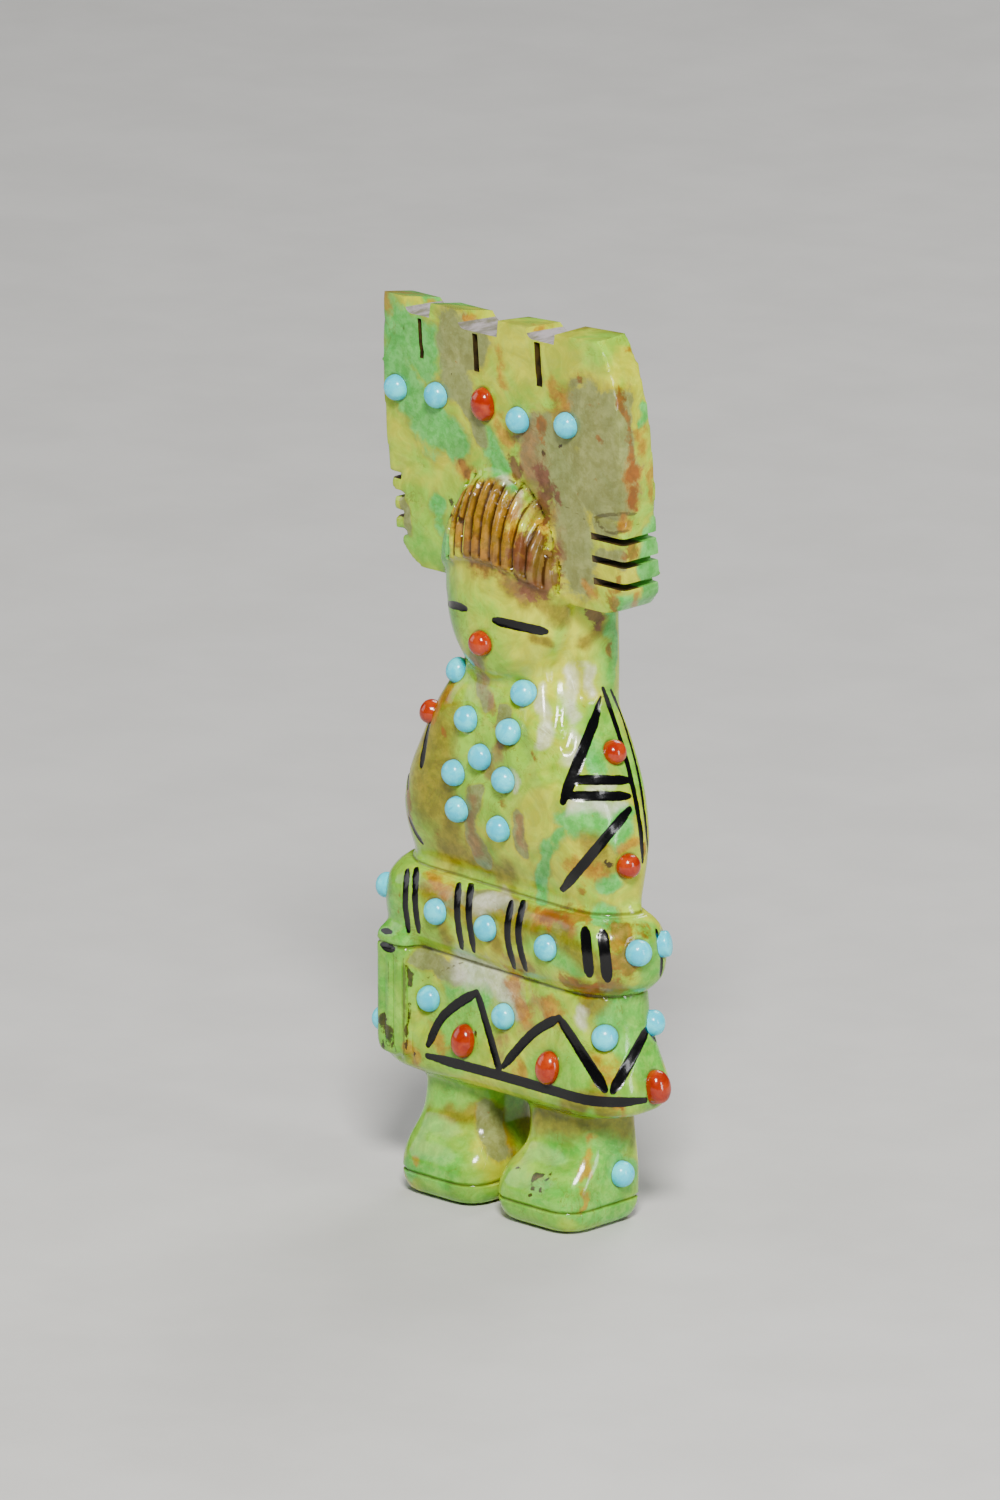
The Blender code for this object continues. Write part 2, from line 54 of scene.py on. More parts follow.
# Corners nearer than this are welded, and two places nearer than this are one
WELD, SAME_PLACE = 1e-7, 1e-6

# Domes: the root in the stone, the rise over it and its roundness, and the domes that rise less
INLAY_ROOT, DOME_RISE, DOME_ROUNDNESS = 0.7 * MM, 1.2 * MM, 0.85
FLATTER_DOMES = {
    "belt_turquoise_2": 0.85,
    "belt_turquoise_3": 0.85,
    "belt_turquoise_4": 0.85,
    "belt_turquoise_6": 0.42,
}
CORAL_NAMES = ("mouth_coral", "arm_coral")
OVAL_NAMES = ("crest_coral", "skirt_coral")
HALF_SIZES = {"turquoise": (1.3, 1.3), "coral": (1.25, 1.25), "oval": (1.35, 1.7)}

# Faces of a drilled seat: how far from its axis and mouth they lie, and what tells a wall or floor
SEAT_GAP, SEAT_EDGE, SEAT_REACH = 0.15 * MM, 1.005, 1.3 * MM
SEAT_WALL_FACING, SEAT_FLOOR, SLIVER_AREA = 0.25, -0.9 * MM, 0.004 * MM * MM

# The stone's skin: the grain of its mesh, its smoothing, and what is smoothed less
VOXEL = 0.39 * MM
SMOOTH_ALL, SMOOTH_BROAD = 2, 26
BROAD_TOP, BACK_HAIR_TOP, BACK_HAIR_FRONT = 62.0, 74, 0.3
SOFT_AT_BELT, SOFT_AT_BASE, SOFT_AT_SASH = 0.25, 0.2, 0.3
BELT_BLEND, BASE_BLEND = (0.5, 1.6), (0.3, 1.2)
SASH_SIDE, SASH_FRONT, SASH_FOOT, SASH_TOP = -9.6, -2.0, 13.2, 27.6

# Crest, in drawn millimetres
CREST_FOOT, CREST_FOOT_FRONT, CREST_TOP, CREST_TOP_FRONT, CREST_THICKNESS = 63.0, -1.3, 91.0, -3.8, 5.3
CREST_LEAN = (CREST_TOP_FRONT - CREST_FOOT_FRONT) / (CREST_TOP - CREST_FOOT)
LOBES = [(-14.4, -11.5), (-7.3, -4.4), (1.8, 4.9), (9.5, 14.0)]
LEFT_EDGE, RIGHT_EDGE = -15.5, 16.2
# Its cuts: slits at x, and notches at z on the left and right edges
SLITS, SLIT_WIDTHS, SLIT_HEADS = (-9.7, -2.2, 6.2), (0.5, 0.7, 0.78), (88.95, 88.75, 89.35)
SLIT_FOOT, SLIT_MIDDLE, SLIT_DEPTH = 84.9, 87.4, 0.95
CAD_SCOOP_FLOOR, SCOOP_FLOORS = 89.3, (89.3, 88.95, 89.55)
SCOOP_WALL_LEAN, SCOOP_RAMP, SCOOP_ROUNDING = 0.3, 1.0, 0.8
SCOOP_WALL_CUTS, SCOOP_WALL_CUT = 13, 0.5
TOP_SPARE, TOP_BACK_DROP, TOP_DEPTH = 0.5, 0.65, 4.2
LEFT_NOTCHES, RIGHT_NOTCHES, WORN_NOTCH = (72.1, 70.2, 68.2, 66.3), (70.8, 68.5, 66.2), 73.0
LEFT_REACH, RIGHT_REACH, BACK_REACH = 1.75, 4.35, 1.25
NOTCH_WIDTH, WORN_NOTCH_WIDTH, WORN_NOTCH_DEPTH = 0.7, 1.3, 0.3
# How far a cutter reaches past the stone and a plug into it, then the plugs' own sizes
CUT_SPARE, WIDE_SPARE, DEEP_SPARE, PLUG_OVERLAP = 2, 3, 9, 0.1
PLUG_HALF, PLUG_SINK, WORN_PLUG_SIDE, WORN_PLUG_BACK = 0.6, 0.02, 0.8, 1.0

# Fringe of hair: z, half width and front in drawn millimetres
FRINGE = [
    (63.2, 8.6, -5.9), (66.5, 8.5, -6.0), (69.0, 7.7, -5.95), (71.2, 6.5, -5.6),
    (73.0, 5.1, -4.9), (74.2, 4.0, -4.1), (74.8, 2.5, -3.3),
]
FRINGE_EDGE, FRINGE_EDGE_DROP, FRINGE_BACK, FRINGE_ROUNDNESS = 66.9, 3.6, 1.0, 2.3
FRINGE_EDGE_BLEND, FRINGE_TOP_BLEND, FRINGE_SIDE, FRINGE_SKIN = (-0.1, 0.5), (73.9, 74.8), 0.93, 1.1
LOCK_START, LOCK_END, LOCK_PITCH, LOCK_BLEND = -4.6, 7.8, 1.24, (0.2, 1.0)

# Belt edges: height at the middle, and how they drop and tilt
BELT_EDGES, BELT_DROP, BELT_TILT = (33.3, 25.1), 0.31, 0.027
SOLE_LINE, LEG_GAP = 2.4, 0.5

# Engraving, in mm: how deep it goes and how it fades from its middle or edge
GROOVE_DEPTH, LOCK_DEPTH, CREASE_DEPTH, STROKE_DEPTH, RIM_DEPTH = 0.5, 0.58, 0.22, 0.08, 0.07
BELT_FADE, SOLE_FADE, STROKE_FADE = (0.05, 0.3), (0.06, 0.26), (-0.14, 0.06)
RIM_MIDDLE, RIM_FADE = 0.02, (0.08, 0.26)
INK_REACH, GROOVE_REACH, RIM_REACH, RIM_HEIGHT = 1.5, 2, 3.0, 2
# A stroke's width at its ends, and the share of its length in which it gets there
STROKE_END, STROKE_TAPER = 0.62, 0.12
# Steps along what is drawn in pixels of the photograph, and in mm
STROKE_STEP, GROOVE_STEP, PATCH_STEP, UNSEEN_STEP = 4.0, 6.0, 8.0, 0.5

# Ink strokes seen in the photograph: width in mm, then x and y of its pixels along the stroke
INK_SEEN = [
    (0.85, 448, 604, 457, 606, 466, 609), (1.0, 494, 620.5, 520, 626.5, 546, 632),
    (0.55, 601, 697, 574, 770), (1.15, 598, 712, 583, 750, 570, 783, 563, 802),
    (1.0, 572, 780, 604, 780, 629, 780), (1.0, 568, 796, 604, 796, 629, 796),
    (1.05, 630, 809, 604, 840, 562, 890),
    (0.66, 603, 688, 614, 719, 625, 754, 632, 782, 637, 806, 641, 832, 643, 862),
    (0.5, 611, 690, 622, 716, 632, 748, 639, 776, 644, 808, 647, 836, 648, 856),
    (0.9, 435, 704, 428, 728, 424, 748, 421, 766), (0.8, 409, 818, 415, 832, 422, 843),
    (0.85, 407, 870, 405, 902, 408.5, 931), (0.85, 416, 868, 415, 902, 418.5, 932),
    (0.9, 458.5, 884, 457, 914, 461.5, 948), (0.9, 471, 883, 468.5, 914, 473.5, 951),
    (0.9, 511, 902, 507, 935, 514, 968), (0.9, 523, 901, 518, 935, 525.5, 970),
    (1.15, 584.5, 929, 589, 975), (1.15, 602.5, 932, 607.5, 980), (0.62, 656.5, 930, 662, 955, 660.5, 980),
    (0.7, 382, 930, 391, 932), (0.9, 381, 944, 387, 948, 393, 949),
    (1.05, 428, 1045, 440, 1020, 456, 1005, 476, 992.5), (0.95, 477, 992, 489, 1034, 500, 1073),
    (1.05, 503, 1066, 532, 1034, 558, 1018), (1.15, 559, 1018, 577, 1046, 605, 1090),
    (1.15, 613, 1091, 631, 1060, 648, 1028), (0.7, 648, 1027, 658, 1044),
    (1.1, 427, 1056, 460, 1065, 501, 1076, 553, 1091, 586, 1100, 617, 1102.5, 646, 1100.5),
]

# Ink laid on from the side, most of it where the photograph doesn't show: width in mm, degrees round
# from the front, then sideways and z in mm along the stroke
INK_UNSEEN = [
    (0.8, 0, -10.4, 50.2, -12.4, 45.0, -13.0, 42.4), (0.8, -60, -5.4, 47.0, -3.6, 42.2, -3.0, 41.0),
    (0.8, -90, -3.4, 42.4, 0.0, 42.4, 2.4, 42.4), (0.8, -90, -3.0, 36.4, 0.4, 38.4, 2.6, 40.6),
    (0.5, 180, -13.0, 25.9, -13.2, 29.0, -13.0, 32.0), (0.5, 180, -5.0, 25.8, -4.8, 29.0, -5.0, 32.2),
    (0.5, 180, -3.7, 25.8, -3.5, 29.0, -3.7, 32.2), (0.5, 180, 3.7, 26.0, 3.9, 29.2, 3.7, 32.4),
    (0.5, 180, 5.0, 26.0, 5.2, 29.2, 5.0, 32.4), (0.5, 180, 12.2, 26.2, 12.4, 29.6, 12.2, 32.6),
    (0.7, 90, 2.9, 13.9, 4.4, 13.9),
    (0.75, 180, -15.6, 14.0, -11.0, 13.9, -5.0, 13.9, 0.0, 13.9, 5.0, 13.9, 11.0, 14.0, 14.6, 14.1),
    (0.7, 180, -12.6, 15.2, -10.4, 18.4, -8.4, 19.9), (0.7, 180, -8.4, 19.9, -6.6, 18.0, -4.4, 15.0),
    (0.7, 180, -3.8, 15.0, -1.8, 18.4, 0.0, 20.0), (0.7, 180, 0.0, 20.0, 1.8, 18.4, 3.8, 15.0),
    (0.7, 180, 4.4, 15.0, 6.6, 18.0, 8.4, 19.9), (0.7, 180, 8.4, 19.9, 10.4, 18.4, 12.6, 15.2),
    (0.7, -90, -4.6, 14.1, -1.6, 14.1, 2.4, 14.1),
]

# Soft grooves carved in the stone: width and depth in mm, then pixels along the groove
GROOVES = [
    (1.0, 0.30, 409, 962, 410, 1000, 411, 1062), (0.8, 0.25, 384, 958, 384, 1040),
    (0.8, 0.25, 392, 955, 392, 1062), (0.8, 0.25, 400, 958, 400, 1064),
    (0.9, 0.32, 522, 484, 536, 504, 546, 530, 552, 560, 555, 586),
    (2.6, 0.35, 555, 672, 556, 715, 548, 772), (2.4, 0.35, 576, 668, 577, 700, 566, 745),
    (2.0, 0.22, 594, 662, 596, 690),
]

# Fine dark veining and scratches, and painted shade along the sash's grooves and down its edge: width in mm,
# then pixels along them
VEINS_AND_GROOVE_SHADE = [
    (0.36, 594, 518, 606, 515, 622, 514, 636, 514),
    (0.36, 595, 519, 602, 528, 612, 533, 624, 531, 630, 529), (0.5, 637, 525, 640, 521),
    (0.14, 560, 503, 576, 513, 594, 527), (0.14, 422, 981, 440, 972, 468, 960), (0.16, 400, 318, 405, 332),
    (0.3, 508, 479, 524, 490, 537, 510, 546, 535, 552, 560, 555, 586),
    (0.3, 407, 966, 408, 1000, 409, 1062), (0.22, 388, 960, 387, 1040), (0.22, 396, 957, 396, 1060),
    (0.2, 403, 957, 403, 1062), (0.1, 596, 790, 606, 791), (0.1, 626, 855, 634, 862),
]

# Where the stone's minerals lie, and the painted highlights and shade laid with them: radius in mm, then
# pixels along the patch
MINT = [
    (2.9, 386, 316, 424, 350), (2.6, 398, 370, 436, 432), (1.7, 440, 420, 456, 452),
    (1.5, 484, 440, 500, 466), (0.8, 422, 296, 434, 300), (1.1, 442, 500, 444, 560),
    (0.7, 496, 482, 507, 490), (0.7, 641, 408, 643, 420), (1.5, 652, 530, 652, 600),
    (1.3, 622, 606, 640, 602), (0.9, 609, 618, 611, 668), (1.6, 590, 745, 600, 765),
    (2.1, 574, 820, 616, 824), (0.9, 556, 836, 544, 860, 543, 896), (1.1, 607, 885, 613, 886),
    (2.2, 384, 885, 394, 930), (1.5, 556, 952, 572, 962), (1.3, 600, 918, 612, 925),
    (1.5, 648, 958, 654, 968), (1.6, 452, 985, 480, 1002), (3.0, 622, 1006, 645, 1040),
    (2.2, 650, 1058, 655, 1080), (2.4, 560, 1130, 620, 1128), (1.8, 408, 1165, 446, 1172),
    (2.0, 602, 1165, 626, 1172), (1.6, 540, 1195, 620, 1215), (1.0, 380, 975, 382, 1000),
]
GREEN = [
    (3.0, 392, 890, 386, 1060), (2.6, 420, 1096, 640, 1122), (3.4, 420, 1120, 450, 1185),
    (3.6, 560, 1130, 600, 1200), (2.6, 520, 1195, 640, 1205), (3.0, 470, 985, 450, 1050),
    (3.0, 640, 1000, 650, 1085), (2.6, 545, 1070, 620, 1090), (1.2, 604, 655, 612, 700),
    (2.0, 600, 720, 628, 770), (2.4, 540, 940, 600, 962), (2.0, 650, 935, 655, 985),
    (1.6, 448, 570, 452, 630), (2.0, 410, 540, 440, 560), (2.5, 506, 1190, 545, 1212),
    (2.2, 430, 1190, 474, 1200),
]
# Olive-brown stone, and the dark band just under the skirt's hem, which is painted shade
OLIVE_AND_SHADE = [
    (3.4, 434, 700, 428, 800), (2.4, 442, 790, 452, 850), (1.5, 430, 895, 520, 925),
    (1.2, 540, 925, 600, 975), (1.6, 455, 650, 470, 662), (0.6, 530, 640, 548, 644),
    (1.1, 540, 590, 560, 620), (1.5, 500, 900, 560, 935), (1.0, 620, 1125, 590, 1105, 540, 1112),
    (0.7, 580, 640, 600, 625), (1.2, 505, 585, 528, 600), (1.6, 585, 988, 592, 1004),
    (1.6, 470, 860, 505, 872), (1.4, 590, 845, 606, 866), (0.7, 394, 1108, 500, 1122),
    (1.7, 530, 1117, 642, 1121), (1.3, 566, 400, 560, 416), (1.0, 500, 1120, 512, 1150),
    (1.2, 430, 905, 445, 938), (1.2, 490, 930, 498, 945),
]
TAN = [
    (2.3, 452, 332, 474, 344), (2.0, 450, 345, 464, 392), (1.1, 466, 396, 477, 436),
    (3.5, 588, 418, 606, 492), (1.9, 612, 408, 620, 450, 626, 500), (3.1, 550, 446, 573, 490),
    (2.4, 573, 520, 580, 576), (2.0, 532, 434, 536, 462), (1.0, 600, 525, 612, 528),
    (1.0, 600, 553, 622, 556), (0.7, 404, 500, 410, 532), (1.0, 478, 660, 484, 700),
    (0.9, 505, 710, 500, 745), (1.0, 478, 790, 474, 825, 482, 862), (0.9, 517, 815, 520, 848),
    (1.4, 424, 956, 452, 970), (0.9, 445, 895, 520, 905), (1.5, 492, 1120, 500, 1150),
]
# Pale stone, and painted highlights: the vertical streaks on the chest and down the sleeve's front, and the
# glare under the sleeve's second bar
PALE_AND_HIGHLIGHTS = [
    (0.7, 572, 672, 572, 760), (0.6, 547, 690, 541, 740), (0.5, 588, 664, 590, 694),
    (1.0, 484, 908, 499, 899), (1.8, 462, 968, 488, 980, 512, 994), (0.8, 580, 1012, 583, 1022),
    (0.6, 515, 775, 518, 785), (0.7, 570, 802, 618, 806), (0.6, 590, 788, 614, 788),
    (0.5, 511, 496, 515, 512), (0.6, 500, 478, 505, 484),
]
OCHRE = [
    (1.0, 386, 298, 387, 312), (0.22, 390, 312, 404, 334), (0.6, 500, 352, 506, 385),
    (0.9, 500, 425, 506, 440), (0.9, 552, 384, 560, 396), (0.6, 426, 300, 432, 303),
    (0.5, 462, 318, 470, 316), (0.5, 534, 326, 540, 322), (0.5, 622, 350, 628, 352),
    (0.45, 600, 368, 602, 372), (0.8, 640, 436, 642, 446), (0.6, 650, 466, 652, 500),
    (0.9, 384, 425, 390, 462), (0.9, 464, 470, 470, 478), (0.7, 510, 500, 514, 530),
    (0.6, 534, 520, 541, 540), (0.9, 448, 690, 434, 715), (1.0, 574, 868, 596, 874),
    (0.7, 624, 846, 636, 842), (0.7, 428, 876, 446, 892), (1.1, 434, 1036, 440, 1048),
    (1.3, 600, 1066, 604, 1082), (0.8, 516, 1072, 520, 1080), (0.7, 412, 1052, 414, 1065),
    (0.7, 621, 1106, 622, 1116), (0.35, 587, 1138, 584, 1180), (0.4, 584, 1188, 586, 1212),
    (0.6, 416, 1158, 418, 1162), (0.9, 550, 1002, 556, 1012), (1.0, 514, 976, 526, 1014),
    (0.8, 540, 915, 548, 925), (0.7, 588, 590, 600, 592), (0.7, 622, 522, 630, 528),
    (0.55, 636, 593, 636, 604), (0.8, 634, 470, 636, 508),
]
RUST = [
    (0.4, 618, 390, 626, 424, 632, 452, 636, 480, 637, 510), (0.5, 633, 462, 636, 486, 634, 508),
    (0.5, 543, 420, 546, 445), (0.85, 608, 596, 611, 610), (0.55, 616, 574, 619, 582),
    (0.6, 634, 544, 636, 560), (0.5, 575, 383, 578, 387), (0.4, 595, 396, 597, 398),
    (0.3, 600, 440, 601, 441), (0.7, 408, 775, 408, 820), (0.4, 442, 736, 443, 739),
    (1.1, 552, 919, 584, 918), (1.2, 620, 930, 620, 968), (0.9, 565, 980, 590, 985),
    (0.6, 643, 924, 648, 932), (0.8, 577, 985, 585, 990), (0.5, 583, 886, 587, 892),
    (0.45, 605, 645, 607, 652), (0.5, 645, 845, 646, 858), (0.4, 620, 1103, 622, 1112),
    (0.4, 398, 900, 397, 915), (0.3, 515, 770, 517, 772), (0.35, 533, 750, 535, 756),
    (0.4, 500, 800, 503, 806),
]
BLUSH = [
    (1.7, 528, 436, 536, 500), (0.9, 552, 505, 556, 560), (1.0, 508, 580, 524, 592),
    (0.6, 480, 668, 492, 712), (0.9, 488, 770, 506, 740), (1.5, 514, 990, 528, 1026),
    (1.1, 512, 958, 524, 968), (1.0, 600, 985, 616, 992), (0.9, 540, 1000, 548, 1012),
    (1.0, 500, 1040, 496, 1058), (0.8, 560, 925, 570, 935), (0.9, 470, 540, 500, 560),
    (0.6, 476, 800, 476, 850), (0.6, 519, 818, 521, 842),
]
HAIR = [
    (2.6, 460, 506, 472, 550), (2.3, 482, 496, 496, 558), (1.2, 512, 535, 520, 560),
    (0.7, 466, 466, 470, 476),
]
PLUM = [
    (1.9, 530, 552, 541, 582), (0.9, 521, 566, 526, 580), (0.9, 514, 464, 517, 474),
    (1.1, 543, 476, 549, 490), (0.8, 541, 500, 546, 518), (0.7, 592, 616, 596, 622),
    (0.5, 559, 492, 562, 498),
]
# Umber specks and patches, and a dark line down the groove at the sash's edge that is painted shade
UMBER_AND_SHADE = [
    (0.45, 451, 492, 455, 504), (0.3, 460, 517, 463, 524), (0.3, 471, 529, 474, 533),
    (0.3, 449, 512, 451, 515), (0.28, 561, 446, 563, 452), (0.22, 544, 438, 544, 452),
    (0.3, 458, 396, 461, 402), (0.22, 452, 366, 453, 369), (0.22, 447, 390, 450, 396),
    (0.3, 397, 500, 401, 510), (0.25, 408, 524, 411, 532), (0.6, 380, 1016, 382, 1030),
    (0.7, 385, 1030, 387, 1052), (0.22, 411, 968, 410, 1000, 412, 1060), (0.26, 515, 1178, 518, 1186),
    (0.3, 533, 1175, 542, 1172), (0.22, 524, 1190, 530, 1194), (0.26, 544, 1181, 548, 1177),
    (0.22, 530, 1182, 533, 1186), (0.2, 520, 1170, 522, 1172), (0.2, 510, 1191, 512, 1193),
    (0.24, 538, 1190, 541, 1193), (0.2, 551, 1168, 553, 1170), (0.22, 556, 1197, 562, 1200),
    (0.18, 572, 1203, 575, 1206), (0.18, 503, 1182, 505, 1184), (0.28, 440, 1011, 441, 1012),
    (0.4, 612, 1055, 617, 1060), (0.35, 476, 1034, 479, 1056), (0.4, 604, 862, 611, 865),
]
# Each mineral, with the painted highlights and shade among its patches: its patches, how much of it shows on
# the sides that the photograph doesn't show and in how fine patches, its two colours, edge softness,
# mottling by noise and strength
MINERALS_AND_PAINTED_LIGHT = {
    "mint": (MINT, -0.35, 75, (60, 178, 70), (96, 200, 96), 0.28, 1.1, 0.92),
    "green": (GREEN, 0.0, 60, (98, 186, 52), (128, 198, 62), 0.6, 1.2, 0.85),
    "olive": (OLIVE_AND_SHADE, -0.8, 90, (142, 116, 12), (112, 88, 8), 0.6, 1.4, 0.8),
    "tan": (TAN, -0.6, 70, (142, 148, 92), (126, 130, 76), 0.14, 1.1, 0.92),
    "blush": (BLUSH, -1.2, 110, (154, 104, 58), (130, 98, 66), 0.6, 1.9, 0.75),
    "pale": (PALE_AND_HIGHLIGHTS, -1.2, 120, (232, 232, 214), (206, 208, 176), 0.6, 1.9, 0.7),
    "ochre": (OCHRE, -1.15, 150, (200, 136, 10), (168, 100, 8), 0.55, 2.4, 0.75),
    "rust": (RUST, -1.6, 230, (116, 58, 12), (150, 82, 12), 0.4, 2.6, 0.78),
    "hair": (HAIR, -4.0, 150, (158, 104, 30), (116, 74, 20), 0.3, 1.2, 0.92),
    "plum": (PLUM, -1.8, 200, (92, 48, 34), (118, 70, 50), 0.25, 1.8, 0.88),
    "umber": (UMBER_AND_SHADE, -2.2, 330, (40, 26, 10), (64, 42, 16), 0.2, 2.6, 0.92),
}
GRITTY, BORDERED = ("blush", "ochre", "rust", "plum", "umber"), ("tan", "mint")
PATCH_REACH, OFF_PATCH, UNSEEN_CONTRAST = 2.5, -1.5, 2.4


def pick(*things):
    """Select these things alone, and make the first of them active."""
    bpy.ops.object.select_all(action="DESELECT")
    for thing in things:
        thing.select_set(True)
    bpy.context.view_layer.objects.active = things[0]


@contextmanager
def edit_mode():
    bpy.ops.object.mode_set(mode="EDIT")
    yield
    bpy.ops.object.mode_set(mode="OBJECT")


def select_none(kind):
    """Leave no corner, edge or face selected, ready to mark some of one kind in object mode."""
    with edit_mode():
        bpy.ops.mesh.select_mode(type=kind)
        bpy.ops.mesh.select_all(action="DESELECT")


def add_object(name, data):
    thing = bpy.data.objects.new(name, data)
    bpy.context.scene.collection.objects.link(thing)
    return thing


def apply_modifier(thing, kind, **settings):
    modifier = thing.modifiers.new(kind.lower(), kind)
    for name, value in settings.items():
        setattr(modifier, name, value)
    pick(thing)
    bpy.ops.object.modifier_apply(modifier=modifier.name)


def corner_values(thing, name):
    values = np.empty(len(thing.data.vertices) * 3)
    thing.data.vertices.foreach_get(name, values)
    return values.reshape(-1, 3)


def points_of(thing):
    return corner_values(thing, "co")


def drawn(points):
    """Points in the millimetres of the carving's drawing."""
    return (points - np.array(DRAWN_SHIFT)) / MM


def smooth_step(value, low, high):
    share = np.clip((value - low) / (high - low), 0, 1)
    return share * share * (3 - 2 * share)


# Inlays

def inlay_kind(name):
    if name.startswith(OVAL_NAMES):
        return "oval"
    return "coral" if name.startswith(CORAL_NAMES) else "turquoise"


def inlay_frame(node):
    """The middle of an inlay where it meets the stone, and its outward, sideways and upright directions."""
    mesh = node.data
    mesh.calc_loop_triangles()
    corners = points_of(node)[np.array([triangle.vertices for triangle in mesh.loop_triangles])]
    crossed = np.cross(corners[:, 1] - corners[:, 0], corners[:, 2] - corners[:, 0])
    areas = np.linalg.norm(crossed, axis=1) / 2
    facing = crossed / (2 * areas[:, None])
    alike = facing @ facing.T > 0.9995
    flat = alike[np.argmax(alike @ areas)]
    root = (corners[flat].mean(axis=1) * areas[flat, None]).sum(axis=0) / areas[flat].sum()
    outward = -Vector(facing[flat].mean(axis=0)).normalized()
    upright = (Vector((0, 0, 1)) - outward * outward.z).normalized()
    return Vector(root) + outward * INLAY_ROOT, outward, upright.cross(outward), upright


def inlay_frames():
    names = [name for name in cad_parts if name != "stone_figure"]
    return {name: inlay_frame(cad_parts[name]) for name in sorted(names)}


def across_inlay(points, place, kind, grown=0.0):
    """Distance from an inlay's axis as a share of its half size, and height above its seat."""
    middle, outward, sideways, upright = place
    half_width, half_height = (size * MM + grown for size in HALF_SIZES[kind])
    away = points - np.array(middle)
    share = np.hypot(away @ np.array(sideways) / half_width, away @ np.array(upright) / half_height)
    return share, away @ np.array(outward)


# The stone's form

def crest_front(z):
    """y of the crest's front face at z, in drawn millimetres."""
    return CREST_FOOT_FRONT + CREST_LEAN * (z - CREST_FOOT)


def close_seats(stone, places):
    """Take the drilled seats out of the stone's skin and close it, so that the domes meet clean stone."""
    pick(stone)
    with edit_mode():
        bpy.ops.mesh.select_mode(type="FACE")
        bpy.ops.mesh.select_all(action="SELECT")
        bpy.ops.mesh.remove_doubles(threshold=WELD)
        bpy.ops.mesh.select_all(action="DESELECT")
    faces = stone.data.polygons
    centres, facings = (np.array([getattr(face, name) for face in faces]) for name in ("center", "normal"))
    slivers = np.array([face.area for face in faces]) < SLIVER_AREA
    drilled = np.zeros(len(centres), bool)
    for name, place in places.items():
        share, above = across_inlay(centres, place, inlay_kind(name), SEAT_GAP)
        wall = np.abs(facings @ np.array(place[1])) < SEAT_WALL_FACING
        near = (share < SEAT_EDGE) & (np.abs(above) < SEAT_REACH)
        drilled |= near & (wall | (above < SEAT_FLOOR) | slivers)
    faces.foreach_set("select", drilled)
    with edit_mode():
        bpy.ops.mesh.delete(type="FACE")
        bpy.ops.mesh.select_mode(type="EDGE")
        bpy.ops.mesh.select_non_manifold(
            extend=False, use_wire=False, use_multi_face=False, use_non_contiguous=False, use_verts=False
        )
        bpy.ops.mesh.fill_holes(sides=0)
        bpy.ops.mesh.select_all(action="SELECT")
        bpy.ops.mesh.normals_make_consistent(inside=False)


def fill_crest(stone):
    """Raise the crest's top edge over its scoops, and plug the slits' heads and the worn notch."""
    x, y, z = drawn(points_of(stone)).T
    start, end = LOBES[0][0] - PLUG_OVERLAP, LOBES[-1][1] + PLUG_OVERLAP
    raised = (z > CAD_SCOOP_FLOOR - PLUG_OVERLAP) & (x > start) & (x < end)
    rise = np.where(raised, CREST_TOP + TOP_SPARE - z, 0.0)
    moved = np.column_stack((x, y + CREST_LEAN * rise, z + rise)) * MM + np.array(DRAWN_SHIFT)
    stone.data.vertices.foreach_set("co", moved.ravel())
    stone.data.update()
    plugs = []
    for place, head in zip(SLITS, SLIT_HEADS):
        front = crest_front(head)
        low = (place - PLUG_HALF, front + PLUG_SINK, head - PLUG_OVERLAP)
        plugs.append(box_cutter(low, (place + PLUG_HALF, front + CUT_SPARE, CREST_TOP + TOP_SPARE)))
    front = crest_front(WORN_NOTCH) + WORN_NOTCH_DEPTH
    half = WORN_NOTCH_WIDTH / 2
    low = (RIGHT_EDGE - RIGHT_REACH - WORN_PLUG_SIDE, front, WORN_NOTCH - half)
    back = front + CREST_THICKNESS - WORN_PLUG_BACK
    plugs.append(box_cutter(low, (RIGHT_EDGE - WORN_NOTCH_DEPTH, back, WORN_NOTCH + half)))
    pick(stone, *plugs)
    bpy.ops.object.join()


def weigh(thing, name, weights):
    """A vertex group that holds a weight for each vertex, in sixtieths."""
    group = thing.vertex_groups.new(name=name)
    steps = np.round(np.clip(weights, 0, 1) * 60).astype(int)
    for step in np.unique(steps):
        if step:
            group.add(np.nonzero(steps == step)[0].tolist(), step / 60, "REPLACE")


def belt_edge_gap(points):
    """Distance to the nearer edge line of the belt, in mm."""
    x, y, z = drawn(points).T
    gaps = [np.abs(z - (height - BELT_DROP - BELT_TILT * x)) for height in BELT_EDGES]
    return np.minimum(*gaps)


def soften_skin(stone):
    """Polish the skin: lightly everywhere, and the broad forms until no flat facet shows."""
    apply_modifier(stone, "SMOOTH", factor=0.5, iterations=SMOOTH_ALL)
    points = points_of(stone)
    x, y, z = drawn(points).T
    behind = y > crest_front(z) + CREST_THICKNESS + BACK_HAIR_FRONT
    broad = np.where((z < BROAD_TOP) | (behind & (z < BACK_HAIR_TOP)), 1.0, 0.0)
    broad *= SOFT_AT_BELT + (1 - SOFT_AT_BELT) * smooth_step(belt_edge_gap(points), *BELT_BLEND)
    broad *= SOFT_AT_BASE + (1 - SOFT_AT_BASE) * smooth_step(z, *BASE_BLEND)
    broad[(x < SASH_SIDE) & (y < SASH_FRONT) & (z < SASH_TOP) & (z > SASH_FOOT)] *= SOFT_AT_SASH
    weigh(stone, "broad", broad)
    apply_modifier(stone, "SMOOTH", factor=0.5, iterations=SMOOTH_BROAD, vertex_group="broad")


